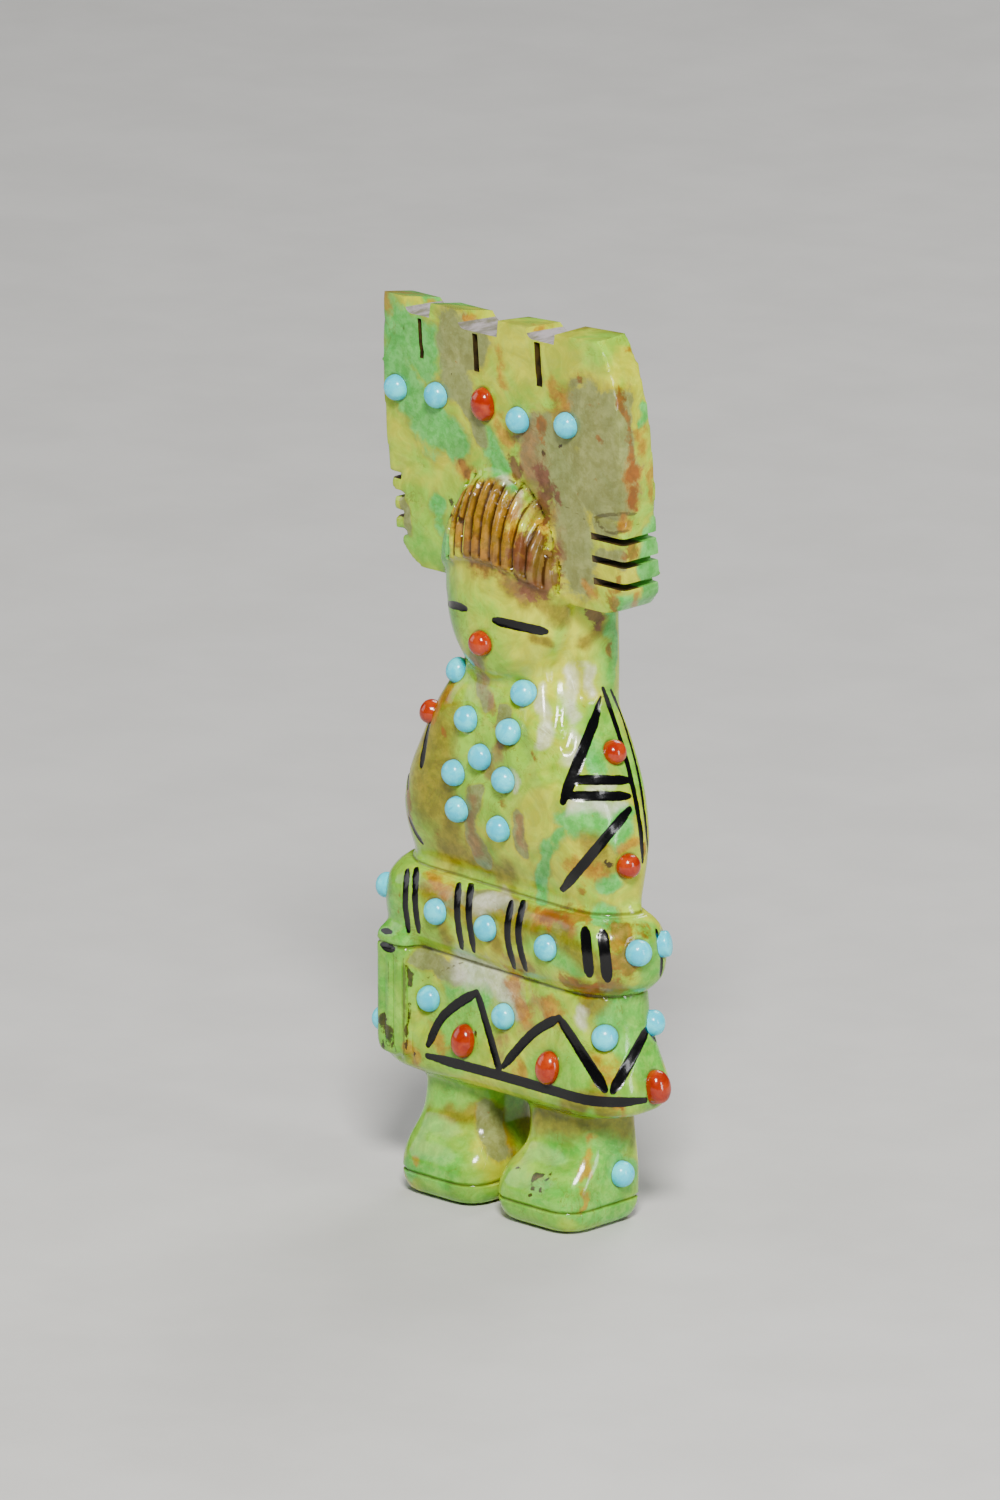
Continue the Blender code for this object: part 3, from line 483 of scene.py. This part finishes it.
def box_cutter(low, high, *finishes, slant=0.0):
    """An upright box between two drawn corners. Its inner side at the back moves sideways by the slant."""
    low, high = (Vector(corner) * MM + DRAWN_SHIFT for corner in (low, high))
    bpy.ops.mesh.primitive_cube_add(size=1, location=(low + high) / 2, scale=high - low)
    cutter = bpy.context.object
    bpy.ops.object.transform_apply(location=True, rotation=True, scale=True)
    for finish in finishes:
        cutter.data.materials.append(finish)
    select_none("VERT")
    if slant:
        inner = min if slant > 0 else max
        edge = inner(vertex.co.x for vertex in cutter.data.vertices)
        middle = (low.y + high.y) / 2
        for vertex in cutter.data.vertices:
            vertex.select = abs(vertex.co.x - edge) < SAME_PLACE and vertex.co.y > middle
        with edit_mode():
            bpy.ops.transform.translate(value=(slant * MM, 0, 0))
    return cutter


def scoop_cutter(left, right, floor, polished, ground):
    """A trough between two lobes: a leaning wall with a round foot at the left, and a ramp at the right."""
    front = crest_front(floor)
    high = (right, front + DEEP_SPARE, CREST_TOP + WIDE_SPARE)
    cutter = box_cutter((left, front - WIDE_SPARE, floor), high, polished, ground)
    foot = min(vertex.co.z for vertex in cutter.data.vertices)
    edge = max(vertex.co.x for vertex in cutter.data.vertices)
    for vertex in cutter.data.vertices:
        if abs(vertex.co.z - foot) < SAME_PLACE and abs(vertex.co.x - edge) < SAME_PLACE:
            vertex.co.x -= SCOOP_RAMP * MM
    wall_end = edge - 1.2 * SCOOP_RAMP * MM
    for line in cutter.data.edges:
        ends = [cutter.data.vertices[index].co for index in line.vertices]
        line.select = all(abs(end.z - foot) < SAME_PLACE and end.x < wall_end for end in ends)
    with edit_mode():
        bpy.ops.mesh.select_mode(type="EDGE")
        bpy.ops.mesh.bevel(offset=SCOOP_ROUNDING * MM, segments=5, affect="EDGES")
        for cut in range(SCOOP_WALL_CUTS):
            depth = front * MM + DRAWN_SHIFT.y + (cut - 0.5) * SCOOP_WALL_CUT * MM
            bpy.ops.mesh.select_all(action="SELECT")
            bpy.ops.mesh.bisect(plane_co=(0, depth, 0), plane_no=(0, 1, 0))
    for face in cutter.data.polygons:
        # The floor and the lower part of the round foot are ground, the rest is polished
        face.material_index = 1 if face.normal.z < -0.35 and face.normal.x < 0.1 else 0
    for vertex in cutter.data.vertices:
        if vertex.co.x < wall_end:
            lean = (vertex.co.y - DRAWN_SHIFT.y - front * MM) * SCOOP_WALL_LEAN
            vertex.co.x += lean * (CREST_TOP * MM - vertex.co.z) / (CREST_TOP * MM - foot)
    return cutter


def top_cutter(polished):
    """All that stands above the lobes, over a face that falls to the back and more so at the left."""
    front = crest_front(CREST_TOP)
    start, end = LOBES[0][0], LOBES[-1][1]
    high = (end + WIDE_SPARE, front + DEEP_SPARE, CREST_TOP + WIDE_SPARE)
    cutter = box_cutter((start - WIDE_SPARE, front - WIDE_SPARE, CREST_TOP), high, polished)
    foot = min(vertex.co.z for vertex in cutter.data.vertices)
    for vertex in cutter.data.vertices:
        if abs(vertex.co.z - foot) < SAME_PLACE:
            x, y, z = drawn(np.array([vertex.co]))[0]
            from_right = (end - x) / (end - start)
            vertex.co.z -= TOP_BACK_DROP * MM * from_right * (y - front) / TOP_DEPTH
    return cutter


def saw_crest(stone, polished, saw_cut_shade, ground):
    """The crest's crisp top and scoops, the narrow slits under them, and the saw cuts down both edges."""
    cutters = [top_cutter(polished)]
    for (_, left), (right, _), floor in zip(LOBES, LOBES[1:], SCOOP_FLOORS):
        cutters.append(scoop_cutter(left, right, floor, polished, ground))
    front = crest_front(SLIT_MIDDLE)
    for place, width, head in zip(SLITS, SLIT_WIDTHS, SLIT_HEADS):
        low = (place - width / 2, front - CUT_SPARE, SLIT_FOOT)
        cutters.append(box_cutter(low, (place + width / 2, front + SLIT_DEPTH, head), saw_cut_shade))
    notches = ((-1, LEFT_EDGE, LEFT_REACH, LEFT_NOTCHES), (1, RIGHT_EDGE, RIGHT_REACH, RIGHT_NOTCHES))
    for side, edge, reach, heights in notches:
        slope = (reach - BACK_REACH) / CREST_THICKNESS
        slant = side * slope * (CREST_THICKNESS + 2 * CUT_SPARE)
        left, right = sorted((edge - side * (reach + slope * CUT_SPARE), edge + side * WIDE_SPARE))
        for z in heights:
            front = crest_front(z)
            low = (left, front - CUT_SPARE, z - NOTCH_WIDTH / 2)
            high = (right, front + CREST_THICKNESS + CUT_SPARE, z + NOTCH_WIDTH / 2)
            cutters.append(box_cutter(low, high, saw_cut_shade, slant=slant))
    for cutter in cutters:
        apply_cutter(stone, cutter)


def apply_cutter(stone, cutter):
    """Cut a form out of the stone; the cut keeps the cutter's finish."""
    settings = {"operation": "DIFFERENCE", "solver": "EXACT", "material_mode": "TRANSFER"}
    apply_modifier(stone, "BOOLEAN", object=cutter, **settings)
    bpy.data.objects.remove(cutter, do_unlink=True)


# Finding places on the stone

def camera_axes():
    azimuth, elevation = math.radians(AZIMUTH), math.radians(ELEVATION)
    level = math.cos(elevation)
    back = Vector((math.sin(azimuth) * level, -math.cos(azimuth) * level, math.sin(elevation)))
    right = Vector((math.cos(azimuth), math.sin(azimuth), 0))
    return right, back.cross(right), back


RIGHT, UP, BACK = camera_axes()
EYE = AIM + BACK * DISTANCE


def seen_at(tree, u, v):
    """The place on the stone that the photograph shows at a pixel, or None beside the stone."""
    ray = RIGHT * (u - PHOTO_MIDDLE[0]) - UP * (v - PHOTO_MIDDLE[1]) - BACK * FOCAL_PIXELS
    return tree.ray_cast(EYE, ray.normalized())[0]


def met_from(tree, facing, sideways, z):
    """The place on the stone that a level line meets, from the direction in degrees round from the front."""
    angle = math.radians(facing)
    out = Vector((math.sin(angle), -math.cos(angle), 0))
    across = Vector((math.cos(angle), math.sin(angle), 0))
    start = (across * sideways + Vector((0, 0, z))) * MM + DRAWN_SHIFT + out * 0.1
    return tree.ray_cast(start, -out)[0]


def curve_through(numbers, step):
    """Points of a smooth curve through the corners that the numbers give in pairs, about a step apart."""
    corners = list(np.reshape(numbers, (-1, 2)).astype(float))
    ends = [2 * corners[0] - corners[1]] + corners + [2 * corners[-1] - corners[-2]]
    points = [corners[0]]
    for before, start, end, after in zip(ends, ends[1:], ends[2:], ends[3:]):
        count = max(1, round(np.linalg.norm(end - start) / step))
        for index in range(1, count + 1):
            t = index / count
            bend = 2 * before - 5 * start + 4 * end - after
            turn = 3 * (start - end) + after - before
            points.append(start + 0.5 * t * (end - before + t * (bend + t * turn)))
    return points


def path_on_stone(find, numbers, step):
    """Places on the stone along a smooth curve."""
    found = [find(u, v) for u, v in curve_through(numbers, step)]
    return [np.array(place) for place in found if place is not None]


def seen_path(tree, numbers, step):
    return path_on_stone(lambda u, v: seen_at(tree, u, v), numbers, step)


def gap_to_path(points, path, reach, width=0.0):
    """Each point's distance to a path or to the edge of a stroke with narrow ends, up to the reach."""
    gap = np.full(len(points), reach)
    if not path:
        return gap
    low, high = np.min(path, axis=0) - reach, np.max(path, axis=0) + reach
    near = np.nonzero(((points > low) & (points < high)).all(axis=1))[0]
    close = points[near]
    best = np.full(len(near), reach)
    shares = np.linspace(0, 1, len(path))
    full = smooth_step(np.minimum(shares, 1 - shares), 0.0, STROKE_TAPER)
    halves = width / 2 * (STROKE_END + (1 - STROKE_END) * full)
    for start, end, half, next_half in zip(path, path[1:], halves, halves[1:]):
        step = end - start
        along = np.clip((close - start) @ step / max(step @ step, 1e-14), 0, 1)
        away = np.linalg.norm(close - start - along[:, None] * step, axis=1)
        best = np.minimum(best, away - half - (next_half - half) * along)
    gap[near] = best
    return gap


# Engraving

def ink_paths(tree):
    """Width and path of every ink stroke."""
    paths = [(width * MM, seen_path(tree, pixels, STROKE_STEP)) for width, *pixels in INK_SEEN]
    for width, facing, *places in INK_UNSEEN:
        path = path_on_stone(lambda side, z: met_from(tree, facing, side, z), places, UNSEEN_STEP)
        paths.append((width * MM, path))
    return paths


def ink_edge(points, paths):
    """Distance outside the nearest ink stroke's edge, in mm, and less than 0 inside it."""
    edge = np.full(len(points), INK_REACH)
    for width, path in paths:
        edge = np.minimum(edge, gap_to_path(points, path, INK_REACH * MM, width) / MM)
    return edge


def groove_depths(points, paths):
    """How deep the soft grooves go at each point, in mm."""
    depths = np.zeros(len(points))
    for width, depth, path in paths:
        gap = gap_to_path(points, path, GROOVE_REACH * MM)
        depths = np.maximum(depths, depth * (1 - smooth_step(gap / MM, 0, width / 2)))
    return depths


def rim_gap(points, places):
    """Distance outside the nearest inlay's rim, in mm."""
    gap = np.full(len(points), RIM_REACH)
    for name, place in places.items():
        kind = inlay_kind(name)
        share, above = across_inlay(points, place, kind)
        outside = (share - 1) * sum(HALF_SIZES[kind]) / 2
        near = (np.abs(above) < RIM_HEIGHT * MM) & (np.abs(outside) < np.abs(gap))
        gap[near] = outside[near]
    return gap


def fringe_comb(points):
    """0 off the fringe and on top of its locks, up to 1 in the grooves between them."""
    x, y, z = drawn(points).T
    heights, half_widths, fronts = zip(*FRINGE)
    half_width, front = np.interp(z, heights, half_widths), np.interp(z, heights, fronts)
    place = x / half_width
    inside = np.clip(1 - np.abs(place) ** FRINGE_ROUNDNESS, 0, 1)
    surface = FRINGE_BACK + (front - FRINGE_BACK) * inside ** (1 / FRINGE_ROUNDNESS)
    edge = FRINGE_EDGE - FRINGE_EDGE_DROP * place * place
    lock = (x - LOCK_START) / LOCK_PITCH
    comb = smooth_step(np.abs(lock - np.floor(lock) - 0.5) * 2, *LOCK_BLEND)
    low, high = (edge + gap for gap in FRINGE_EDGE_BLEND)
    comb *= smooth_step(z, low, high) * (1 - smooth_step(z, *FRINGE_TOP_BLEND))
    comb *= (x > LOCK_START - 0.1) & (x < LOCK_END) & (np.abs(place) < FRINGE_SIDE)
    return comb * (np.abs(y - surface) < FRINGE_SKIN)


def crease(points):
    """1 in the worn-in lines at the belt's edges and above the soles, which the material darkens as painted
    shade.
    """
    x, y, z = drawn(points).T
    belt = 1 - smooth_step(belt_edge_gap(points), *BELT_FADE)
    sole = (1 - smooth_step(np.abs(z - SOLE_LINE), *SOLE_FADE)) * (np.abs(x) > LEG_GAP)
    return np.maximum(belt, sole)


def refine(stone, wanted):
    """Split the faces that carry fine engraving, and the edges of those closed in between them."""
    pick(stone)
    corners = np.array([face.vertices[:3] for face in stone.data.polygons])
    chosen = wanted[corners].any(axis=1)
    stone.data.polygons.foreach_set("select", chosen)
    with edit_mode():
        bpy.ops.mesh.select_mode(type="FACE")
    stone.data.polygons.foreach_set("select", chosen)
    with edit_mode():
        bpy.ops.mesh.subdivide(number_cuts=1)


def engrave(stone, name, weights, depth):
    """Sink the skin by the depth in mm where the weights are 1."""
    weigh(stone, name, weights)
    settings = {"direction": "NORMAL", "mid_level": 0.0, "strength": -depth * MM}
    apply_modifier(stone, "DISPLACE", vertex_group=name, **settings)


def engrave_stone(stone, places, tree, strokes):
    """Soft grooves, then on a finer skin the locks, worn-in lines, ink scratches and the domes' rims."""
    grooves = [(width, depth, seen_path(tree, pixels, GROOVE_STEP)) for width, depth, *pixels in GROOVES]
    engrave(stone, "grooves", groove_depths(points_of(stone), grooves) / GROOVE_DEPTH, GROOVE_DEPTH)
    points = points_of(stone)
    fine = (np.abs(ink_edge(points, strokes)) < 0.3) | (fringe_comb(points) > 0.02) | (crease(points) > 0.1)
    fine |= np.abs(rim_gap(points, places) - RIM_MIDDLE) < 0.2
    refine(stone, fine)
    engrave(stone, "locks", fringe_comb(points_of(stone)), LOCK_DEPTH)
    engrave(stone, "creases", crease(points_of(stone)), CREASE_DEPTH)
    ink = ink_edge(points_of(stone), strokes)
    engrave(stone, "strokes", 1 - smooth_step(ink, *STROKE_FADE), STROKE_DEPTH)
    rim = np.abs(rim_gap(points_of(stone), places) - RIM_MIDDLE)
    engrave(stone, "rims", 1 - smooth_step(rim, *RIM_FADE), RIM_DEPTH)


# What the stone's material reads

def drifts(points, scale, size):
    """A smooth push of each point by up to the size in mm, the same in every run."""
    shifts = (Vector((0, 0, 0)), Vector((31.4, 7.7, 19.1)), Vector((-13.3, 41.9, 5.2)))
    pushes = [[noise.noise(Vector(point) * scale + shift) for shift in shifts] for point in points]
    return np.array(pushes) * size * MM


def patch_field(points, paths, hidden, level, scale):
    """1 in the middle of the patches, 0 at their edges and less outside."""
    field = np.full(len(points), OFF_PATCH)
    for radius, path in paths:
        gap = gap_to_path(points, path, radius * PATCH_REACH)
        field = np.maximum(field, 1 - gap / radius)
    away = hidden > 0
    shift = Vector((scale * 0.37, level * 9, 0))
    drift = [noise.noise(Vector(point) * scale + shift) for point in points[away]]
    unseen = np.zeros(len(points))
    unseen[away] = np.array(drift) * UNSEEN_CONTRAST + level
    return field * (1 - hidden) + unseen * hidden


def keep_fields(stone, places, tree, strokes):
    """Store for the material how near ink, dark veining and painted groove shade, rims and locks are, and
    how strong each mineral, painted highlight and painted shade is.
    """
    points = points_of(stone)
    veins_and_groove_shade = [(width * MM, seen_path(tree, pixels, STROKE_STEP)) for width, *pixels in VEINS_AND_GROOVE_SHADE]
    fields = {
        "ink": ink_edge(points, strokes),
        "vein_and_groove_shade": ink_edge(points, veins_and_groove_shade),
        "rim": rim_gap(points, places),
        "comb": fringe_comb(points),
        "crease": crease(points),
    }
    hidden = 1 - smooth_step(corner_values(stone, "normal") @ np.array(BACK), -0.15, 0.1)
    wobbled = points + drifts(points, 210, 0.9) + drifts(points, 620, 0.65)
    for name, (patches, level, scale, *_) in MINERALS_AND_PAINTED_LIGHT.items():
        paths = [(radius * MM, seen_path(tree, pixels, PATCH_STEP)) for radius, *pixels in patches]
        fields[name] = patch_field(wobbled, paths, hidden, level, scale)
    for name, values in fields.items():
        field = stone.data.attributes.new(name, "FLOAT", "POINT")
        field.data.foreach_set("value", values.astype(np.float32))


def make_stone(places, polished, saw_cut_shade, ground):
    stone = add_object("carved_stone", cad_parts["stone_figure"].data.copy())
    stone.data.materials.clear()
    stone.data.materials.append(polished)
    close_seats(stone, places)
    fill_crest(stone)
    apply_modifier(stone, "REMESH", mode="VOXEL", voxel_size=VOXEL)
    soften_skin(stone)
    saw_crest(stone, polished, saw_cut_shade, ground)
    tree = BVHTree.FromObject(stone, bpy.context.evaluated_depsgraph_get())
    strokes = ink_paths(tree)
    engrave_stone(stone, places, tree, strokes)
    keep_fields(stone, places, tree, strokes)
    pick(stone)
    bpy.ops.object.shade_smooth_by_angle(angle=math.radians(38))
    return stone


# Domes

def model_dome():
    """One cabochon of unit size: a half ball over a short straight root."""
    bpy.ops.mesh.primitive_uv_sphere_add(segments=28, ring_count=18, radius=1)
    dome = bpy.context.object
    with edit_mode():
        bpy.ops.mesh.select_all(action="SELECT")
        bpy.ops.mesh.bisect(plane_co=(0, 0, 0), plane_no=(0, 0, 1), clear_inner=True, use_fill=True)
    select_none("FACE")
    for face in dome.data.polygons:
        face.select = face.normal.z < -0.9 and abs(face.center.z) < 0.01
    with edit_mode():
        bpy.ops.mesh.extrude_region_move(TRANSFORM_OT_translate={"value": (0, 0, -1)})
    return dome


def set_dome(model, name, place):
    """Copy the dome to an inlay's seat, at its width, height and rise."""
    middle, outward, sideways, upright = place
    half_width, half_height = (size * MM for size in HALF_SIZES[inlay_kind(name)])
    dome_name = name.replace("turquoise", "turquoise_dome").replace("coral", "coral_dome")
    dome = add_object(dome_name, model.data.copy())
    for vertex in dome.data.vertices:
        x, y, z = vertex.co
        if z > 0:
            rise = DOME_RISE * FLATTER_DOMES.get(name, 1.0) * z**DOME_ROUNDNESS
        else:
            rise = INLAY_ROOT * z
        vertex.co = middle + sideways * half_width * x + upright * half_height * y + outward * rise
    pick(dome)
    bpy.ops.object.shade_smooth_by_angle(angle=math.radians(50))
    return dome


# Finishes

def srgb(red, green, blue):
    """A colour as an eye reads it, 0 to 255, turned to the light it stands for."""
    light = []
    for part in (red, green, blue):
        light.append(((part / 255 + 0.055) / 1.055) ** 2.4 if part > 10 else part / 255 / 12.92)
    return (*light, 1.0)


class Finish:
    """A material being made, with short calls for its nodes and the colour that it has so far."""

    def __init__(self, name, roughness, **settings):
        self.material = bpy.data.materials.new(name)
        self.material.use_nodes = True
        self.tree = self.material.node_tree
        self.shader = self.tree.nodes["Principled BSDF"]
        self.shader.inputs["Roughness"].default_value = roughness
        for socket, value in settings.items():
            self.shader.inputs[socket.replace("_", " ")].default_value = value
        self.place = self.node("ShaderNodeTexCoord", {}).outputs["Object"]
        self.colour = None

    def node(self, kind, sockets, **settings):
        """A node with its settings, and its sockets set to values or fed by other nodes."""
        made = self.tree.nodes.new(kind)
        for name, value in settings.items():
            setattr(made, name, value)
        for name, value in sockets.items():
            self.put(made.inputs[name], value)
        return made

    def put(self, socket, value):
        if isinstance(value, bpy.types.NodeSocket):
            self.tree.links.new(value, socket)
        else:
            socket.default_value = value

    def noise(self, scale, detail=3.0, rough=0.55, warp=0.0, stretch=(1, 1, 1)):
        """Noise around 0, from about -0.5 to 0.5."""
        place = self.node("ShaderNodeMapping", {"Vector": self.place, "Scale": stretch}).outputs["Vector"]
        form = {"Vector": place, "Scale": scale, "Detail": detail, "Roughness": rough, "Distortion": warp}
        return self.math("SUBTRACT", self.node("ShaderNodeTexNoise", form).outputs["Fac"], 0.5)

    def math(self, operation, first, second=0.0, third=0.0):
        sockets = {0: first, 1: second, 2: third}
        return self.node("ShaderNodeMath", sockets, operation=operation).outputs[0]

    def share(self, value, low, high, top=1.0):
        """0 below low, and the top above high, with a soft step between."""
        sockets = {"Value": value, "From Min": low, "From Max": high, "To Min": 0.0, "To Max": top}
        return self.node("ShaderNodeMapRange", sockets, interpolation_type="SMOOTHSTEP").outputs[0]

    def field(self, name):
        return self.node("ShaderNodeAttribute", {}, attribute_name=name).outputs["Fac"]

    def mix(self, amount, first, second, blend="MIX"):
        """A mix of two colours, each fed by a node or given as red, green and blue from 0 to 255."""
        first, second = (srgb(*tone) if isinstance(tone, tuple) else tone for tone in (first, second))
        sockets = {0: amount, 6: first, 7: second}
        return self.node("ShaderNodeMix", sockets, data_type="RGBA", blend_type=blend).outputs[2]

    def lay(self, amount, colour, blend="MIX"):
        """Lay a colour over the colour so far."""
        self.colour = self.mix(amount, self.colour, colour, blend)

    def finished(self, relief, depth, **under):
        """Give the shader its colour and a relief of the depth in mm, and hand the material over."""
        bump = self.node("ShaderNodeBump", {"Height": relief, "Distance": depth * MM, **under}).outputs[0]
        self.put(self.shader.inputs["Base Color"], self.colour)
        self.put(self.shader.inputs["Normal"], bump)
        return self.material


def lay_minerals_and_painted_light(finish, fine, mottle):
    """Lay the minerals' patches, with the painted highlights and shade among them, over the stone, with
    edges that noise breaks up.
    """
    grit = finish.noise(760, 6, 0.75, 0.6)
    for name, (*_, first, second, softness, mottling, strength) in MINERALS_AND_PAINTED_LIGHT.items():
        level = finish.math("MULTIPLY_ADD", mottle, mottling, finish.field(name))
        level = finish.math("MULTIPLY_ADD", fine, mottling * 0.5, level)
        if name in GRITTY:
            level = finish.math("MULTIPLY_ADD", grit, 2.2, level)
        if name in BORDERED:
            inner = finish.share(level, 0.16, -0.06, 0.32)
            border = finish.math("MULTIPLY", finish.share(level, -0.4, -0.05), inner)
            finish.lay(border, (168, 116, 28))
        tone = finish.mix(finish.share(fine, -0.1, 0.1), first, second)
        finish.lay(finish.share(level, -softness, softness, strength), tone)


def polished_stone():
    coat = {"Coat_Weight": 0.05, "Coat_Roughness": 0.04}
    finish = Finish("polished_stone", 0.14, Specular_IOR_Level=0.36, **coat)
    slow = finish.noise(110, 4, 0.6, 0.6)
    fine = finish.noise(1000, 5, 0.7)
    mottle = finish.noise(380, 6, 0.68, 0.8)
    finish.colour = finish.mix(finish.share(slow, -0.12, 0.12), (202, 207, 32), (150, 206, 44))
    finish.lay(finish.share(mottle, -0.02, 0.14, 0.5), (184, 202, 64))
    lay_minerals_and_painted_light(finish, fine, mottle)
    strand = finish.math("ABSOLUTE", finish.noise(170, 6, 0.62, 1.6))
    strand = finish.math("MULTIPLY", finish.share(strand, 0.012, 0.0), finish.share(slow, -0.02, 0.1, 0.5))
    finish.lay(strand, (120, 92, 30))
    flecks = finish.share(finish.noise(1250, 3, 0.6), 0.17, 0.24, 0.6)
    flecks = finish.math("MULTIPLY", flecks, finish.share(finish.noise(240, 3), 0.0, 0.16))
    finish.lay(flecks, (150, 84, 20))
    veil = finish.share(finish.noise(300, 5, 0.7, 1.2), -0.16, 0.2)
    finish.lay(1.0, finish.mix(veil, (212, 212, 200), (255, 255, 255)), "MULTIPLY")
    # Painted shade: dark brown in the grooves between the fringe's locks
    finish.lay(finish.share(finish.field("comb"), 0.3, 0.85, 0.94), (58, 34, 10))
    # Painted shade: darker along the creases at the belt's edges and above the soles
    finish.lay(finish.share(finish.field("crease"), 0.2, 1.0, 0.7), (66, 58, 16))
    # Dark veining and scratches, and painted shade along the sash's grooves and edge
    vein_and_groove_shade = finish.math("MULTIPLY_ADD", fine, 0.2, finish.field("vein_and_groove_shade"))
    finish.lay(finish.share(vein_and_groove_shade, 0.06, -0.03, 0.7), (64, 54, 24))
    # A dark joint round each dome, with painted shade in its gap
    finish.lay(finish.share(finish.field("rim"), 0.22, 0.04, 0.65), (70, 66, 40))
    edge = finish.math("MULTIPLY_ADD", finish.noise(1400, 3), 0.14, finish.field("ink"))
    ink = finish.share(edge, 0.035, -0.035)
    finish.lay(ink, finish.mix(finish.share(mottle, 0.14, 0.28, 0.3), (3, 3, 4), (44, 42, 48)))
    rough = finish.math("MULTIPLY_ADD", ink, 0.05, finish.share(fine, -0.2, 0.3, 0.08))
    finish.put(finish.shader.inputs["Roughness"], finish.math("ADD", rough, 0.12))
    waves = {"Height": finish.noise(160, 2, 0.4), "Distance": 0.18 * MM}
    waves = finish.node("ShaderNodeBump", waves).outputs[0]
    return finish.finished(finish.noise(2200, 3), 0.012, Normal=waves)


def cloudy_finish(name, roughness, cloud, first, second, **settings):
    """A finish that drifts between two colours."""
    finish = Finish(name, roughness, **settings)
    form, low, high = cloud
    finish.colour = finish.mix(finish.share(finish.noise(*form), low, high), first, second)
    return finish


def saw_cut_painted_shade():
    """The walls of the saw cuts, painted near black as the shade inside them, and green where they run out
    at the back.
    """
    # Painted shade: the near-black colour of the cuts' walls stands for the shade inside the narrow cuts
    finish = cloudy_finish("saw_cut_painted_shade", 0.55, ((700, 4, 0.6), -0.15, 0.15), (28, 20, 6), (72, 56, 16))
    place = finish.node("ShaderNodeSeparateXYZ", {0: finish.place})
    finish.lay(finish.share(place.outputs["Y"], 0.0001, 0.0008), (96, 176, 66))
    return finish.finished(finish.noise(3000, 3), 0.02)


def ground_stone():
    """The pale, unpolished floors of the scoops."""
    streaks = ((900, 4, 0.7, 0.0, (1, 0.3, 1)), -0.12, 0.14)
    finish = cloudy_finish("ground_stone", 0.7, streaks, (150, 142, 146), (98, 96, 76))
    return finish.finished(finish.noise(2400, 4), 0.04)


def polished_turquoise():
    cloud, coat = ((700, 4, 0.6, 0.5), -0.14, 0.16), {"Coat_Weight": 0.12, "Coat_Roughness": 0.08}
    finish = cloudy_finish("polished_turquoise", 0.24, cloud, (18, 192, 222), (72, 224, 240), **coat)
    finish.lay(finish.share(finish.noise(1300, 3, 0.6, 1.0), 0.13, 0.24, 0.4), (88, 150, 150))
    return finish.finished(finish.noise(1500, 3), 0.02)


def polished_coral():
    cloud, coat = ((600, 4, 0.6, 0.5), -0.14, 0.16), {"Coat_Weight": 0.1, "Coat_Roughness": 0.05}
    finish = cloudy_finish("polished_coral", 0.16, cloud, (142, 28, 0), (172, 54, 4), **coat)
    finish.lay(finish.share(finish.noise(2400, 2), 0.2, 0.28, 0.35), (216, 104, 56))
    return finish.finished(finish.noise(1500, 3), 0.02)


def pale_floor():
    grain = ((60, 5, 0.6), -0.2, 0.2)
    finish = cloudy_finish("pale_floor", 0.75, grain, (188, 187, 184), (194, 193, 190))
    return finish.finished(finish.noise(1500, 3), 0.03)


# Camera, floor and light

def make_camera():
    data = bpy.data.cameras.new("camera")
    data.sensor_width = SENSOR_LONG_SIDE
    data.lens = FOCAL_PIXELS / PHOTO_LONG_SIDE * SENSOR_LONG_SIDE
    data.clip_start, data.clip_end = 0.05, 20.0
    camera = add_object("camera", data)
    camera.matrix_world = Matrix.Translation(EYE) @ Matrix((RIGHT, UP, BACK)).transposed().to_4x4()
    bpy.context.scene.camera = camera


def make_floor():
    bpy.ops.mesh.primitive_grid_add(x_subdivisions=12, y_subdivisions=12, size=6)
    floor = bpy.context.object
    floor.name = "floor"
    floor.data.materials.append(pale_floor())


def add_light(name, place, size, power, tone):
    """A lamp that looks at the middle of the carving."""
    data = bpy.data.lights.new(name, "AREA")
    data.shape = "RECTANGLE"
    data.size, data.size_y = size
    data.energy, data.color = power, tone
    light = add_object(name, data)
    light.location = place
    light.rotation_mode = "QUATERNION"
    toward = Vector((0, 0, 0.045)) - Vector(place)
    light.rotation_quaternion = toward.to_track_quat("-Z", "Y")


def make_light():
    world = bpy.data.worlds.new("studio")
    bpy.context.scene.world = world
    world.use_nodes = True
    background = world.node_tree.nodes["Background"]
    background.inputs["Color"].default_value = (0.95, 0.97, 1.0, 1.0)
    background.inputs["Strength"].default_value = 0.1
    add_light("key", (0.42, -0.42, 0.62), (0.18, 0.16), 13.0, (1.0, 0.98, 0.95))
    add_light("fill", (-0.66, -0.40, 0.34), (0.50, 0.50), 1.9, (0.97, 0.98, 1.0))
    add_light("side", (0.78, 0.10, 0.22), (0.12, 0.40), 2.6, (0.97, 0.98, 1.0))
    add_light("back", (-0.20, 0.60, 0.62), (0.40, 0.40), 4.0, (1.0, 1.0, 1.0))


def main():
    places = inlay_frames()
    stone = make_stone(places, polished_stone(), saw_cut_painted_shade(), ground_stone())
    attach(stone, "root")
    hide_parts("stone_figure")
    model = model_dome()
    turquoise, coral = polished_turquoise(), polished_coral()
    for name, place in places.items():
        dome = set_dome(model, name, place)
        is_turquoise = inlay_kind(name) == "turquoise"
        dome.data.materials.append(turquoise if is_turquoise else coral)
        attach(dome, "root")
        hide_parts(name)
    bpy.data.objects.remove(model, do_unlink=True)
    make_camera()
    make_floor()
    make_light()



main()
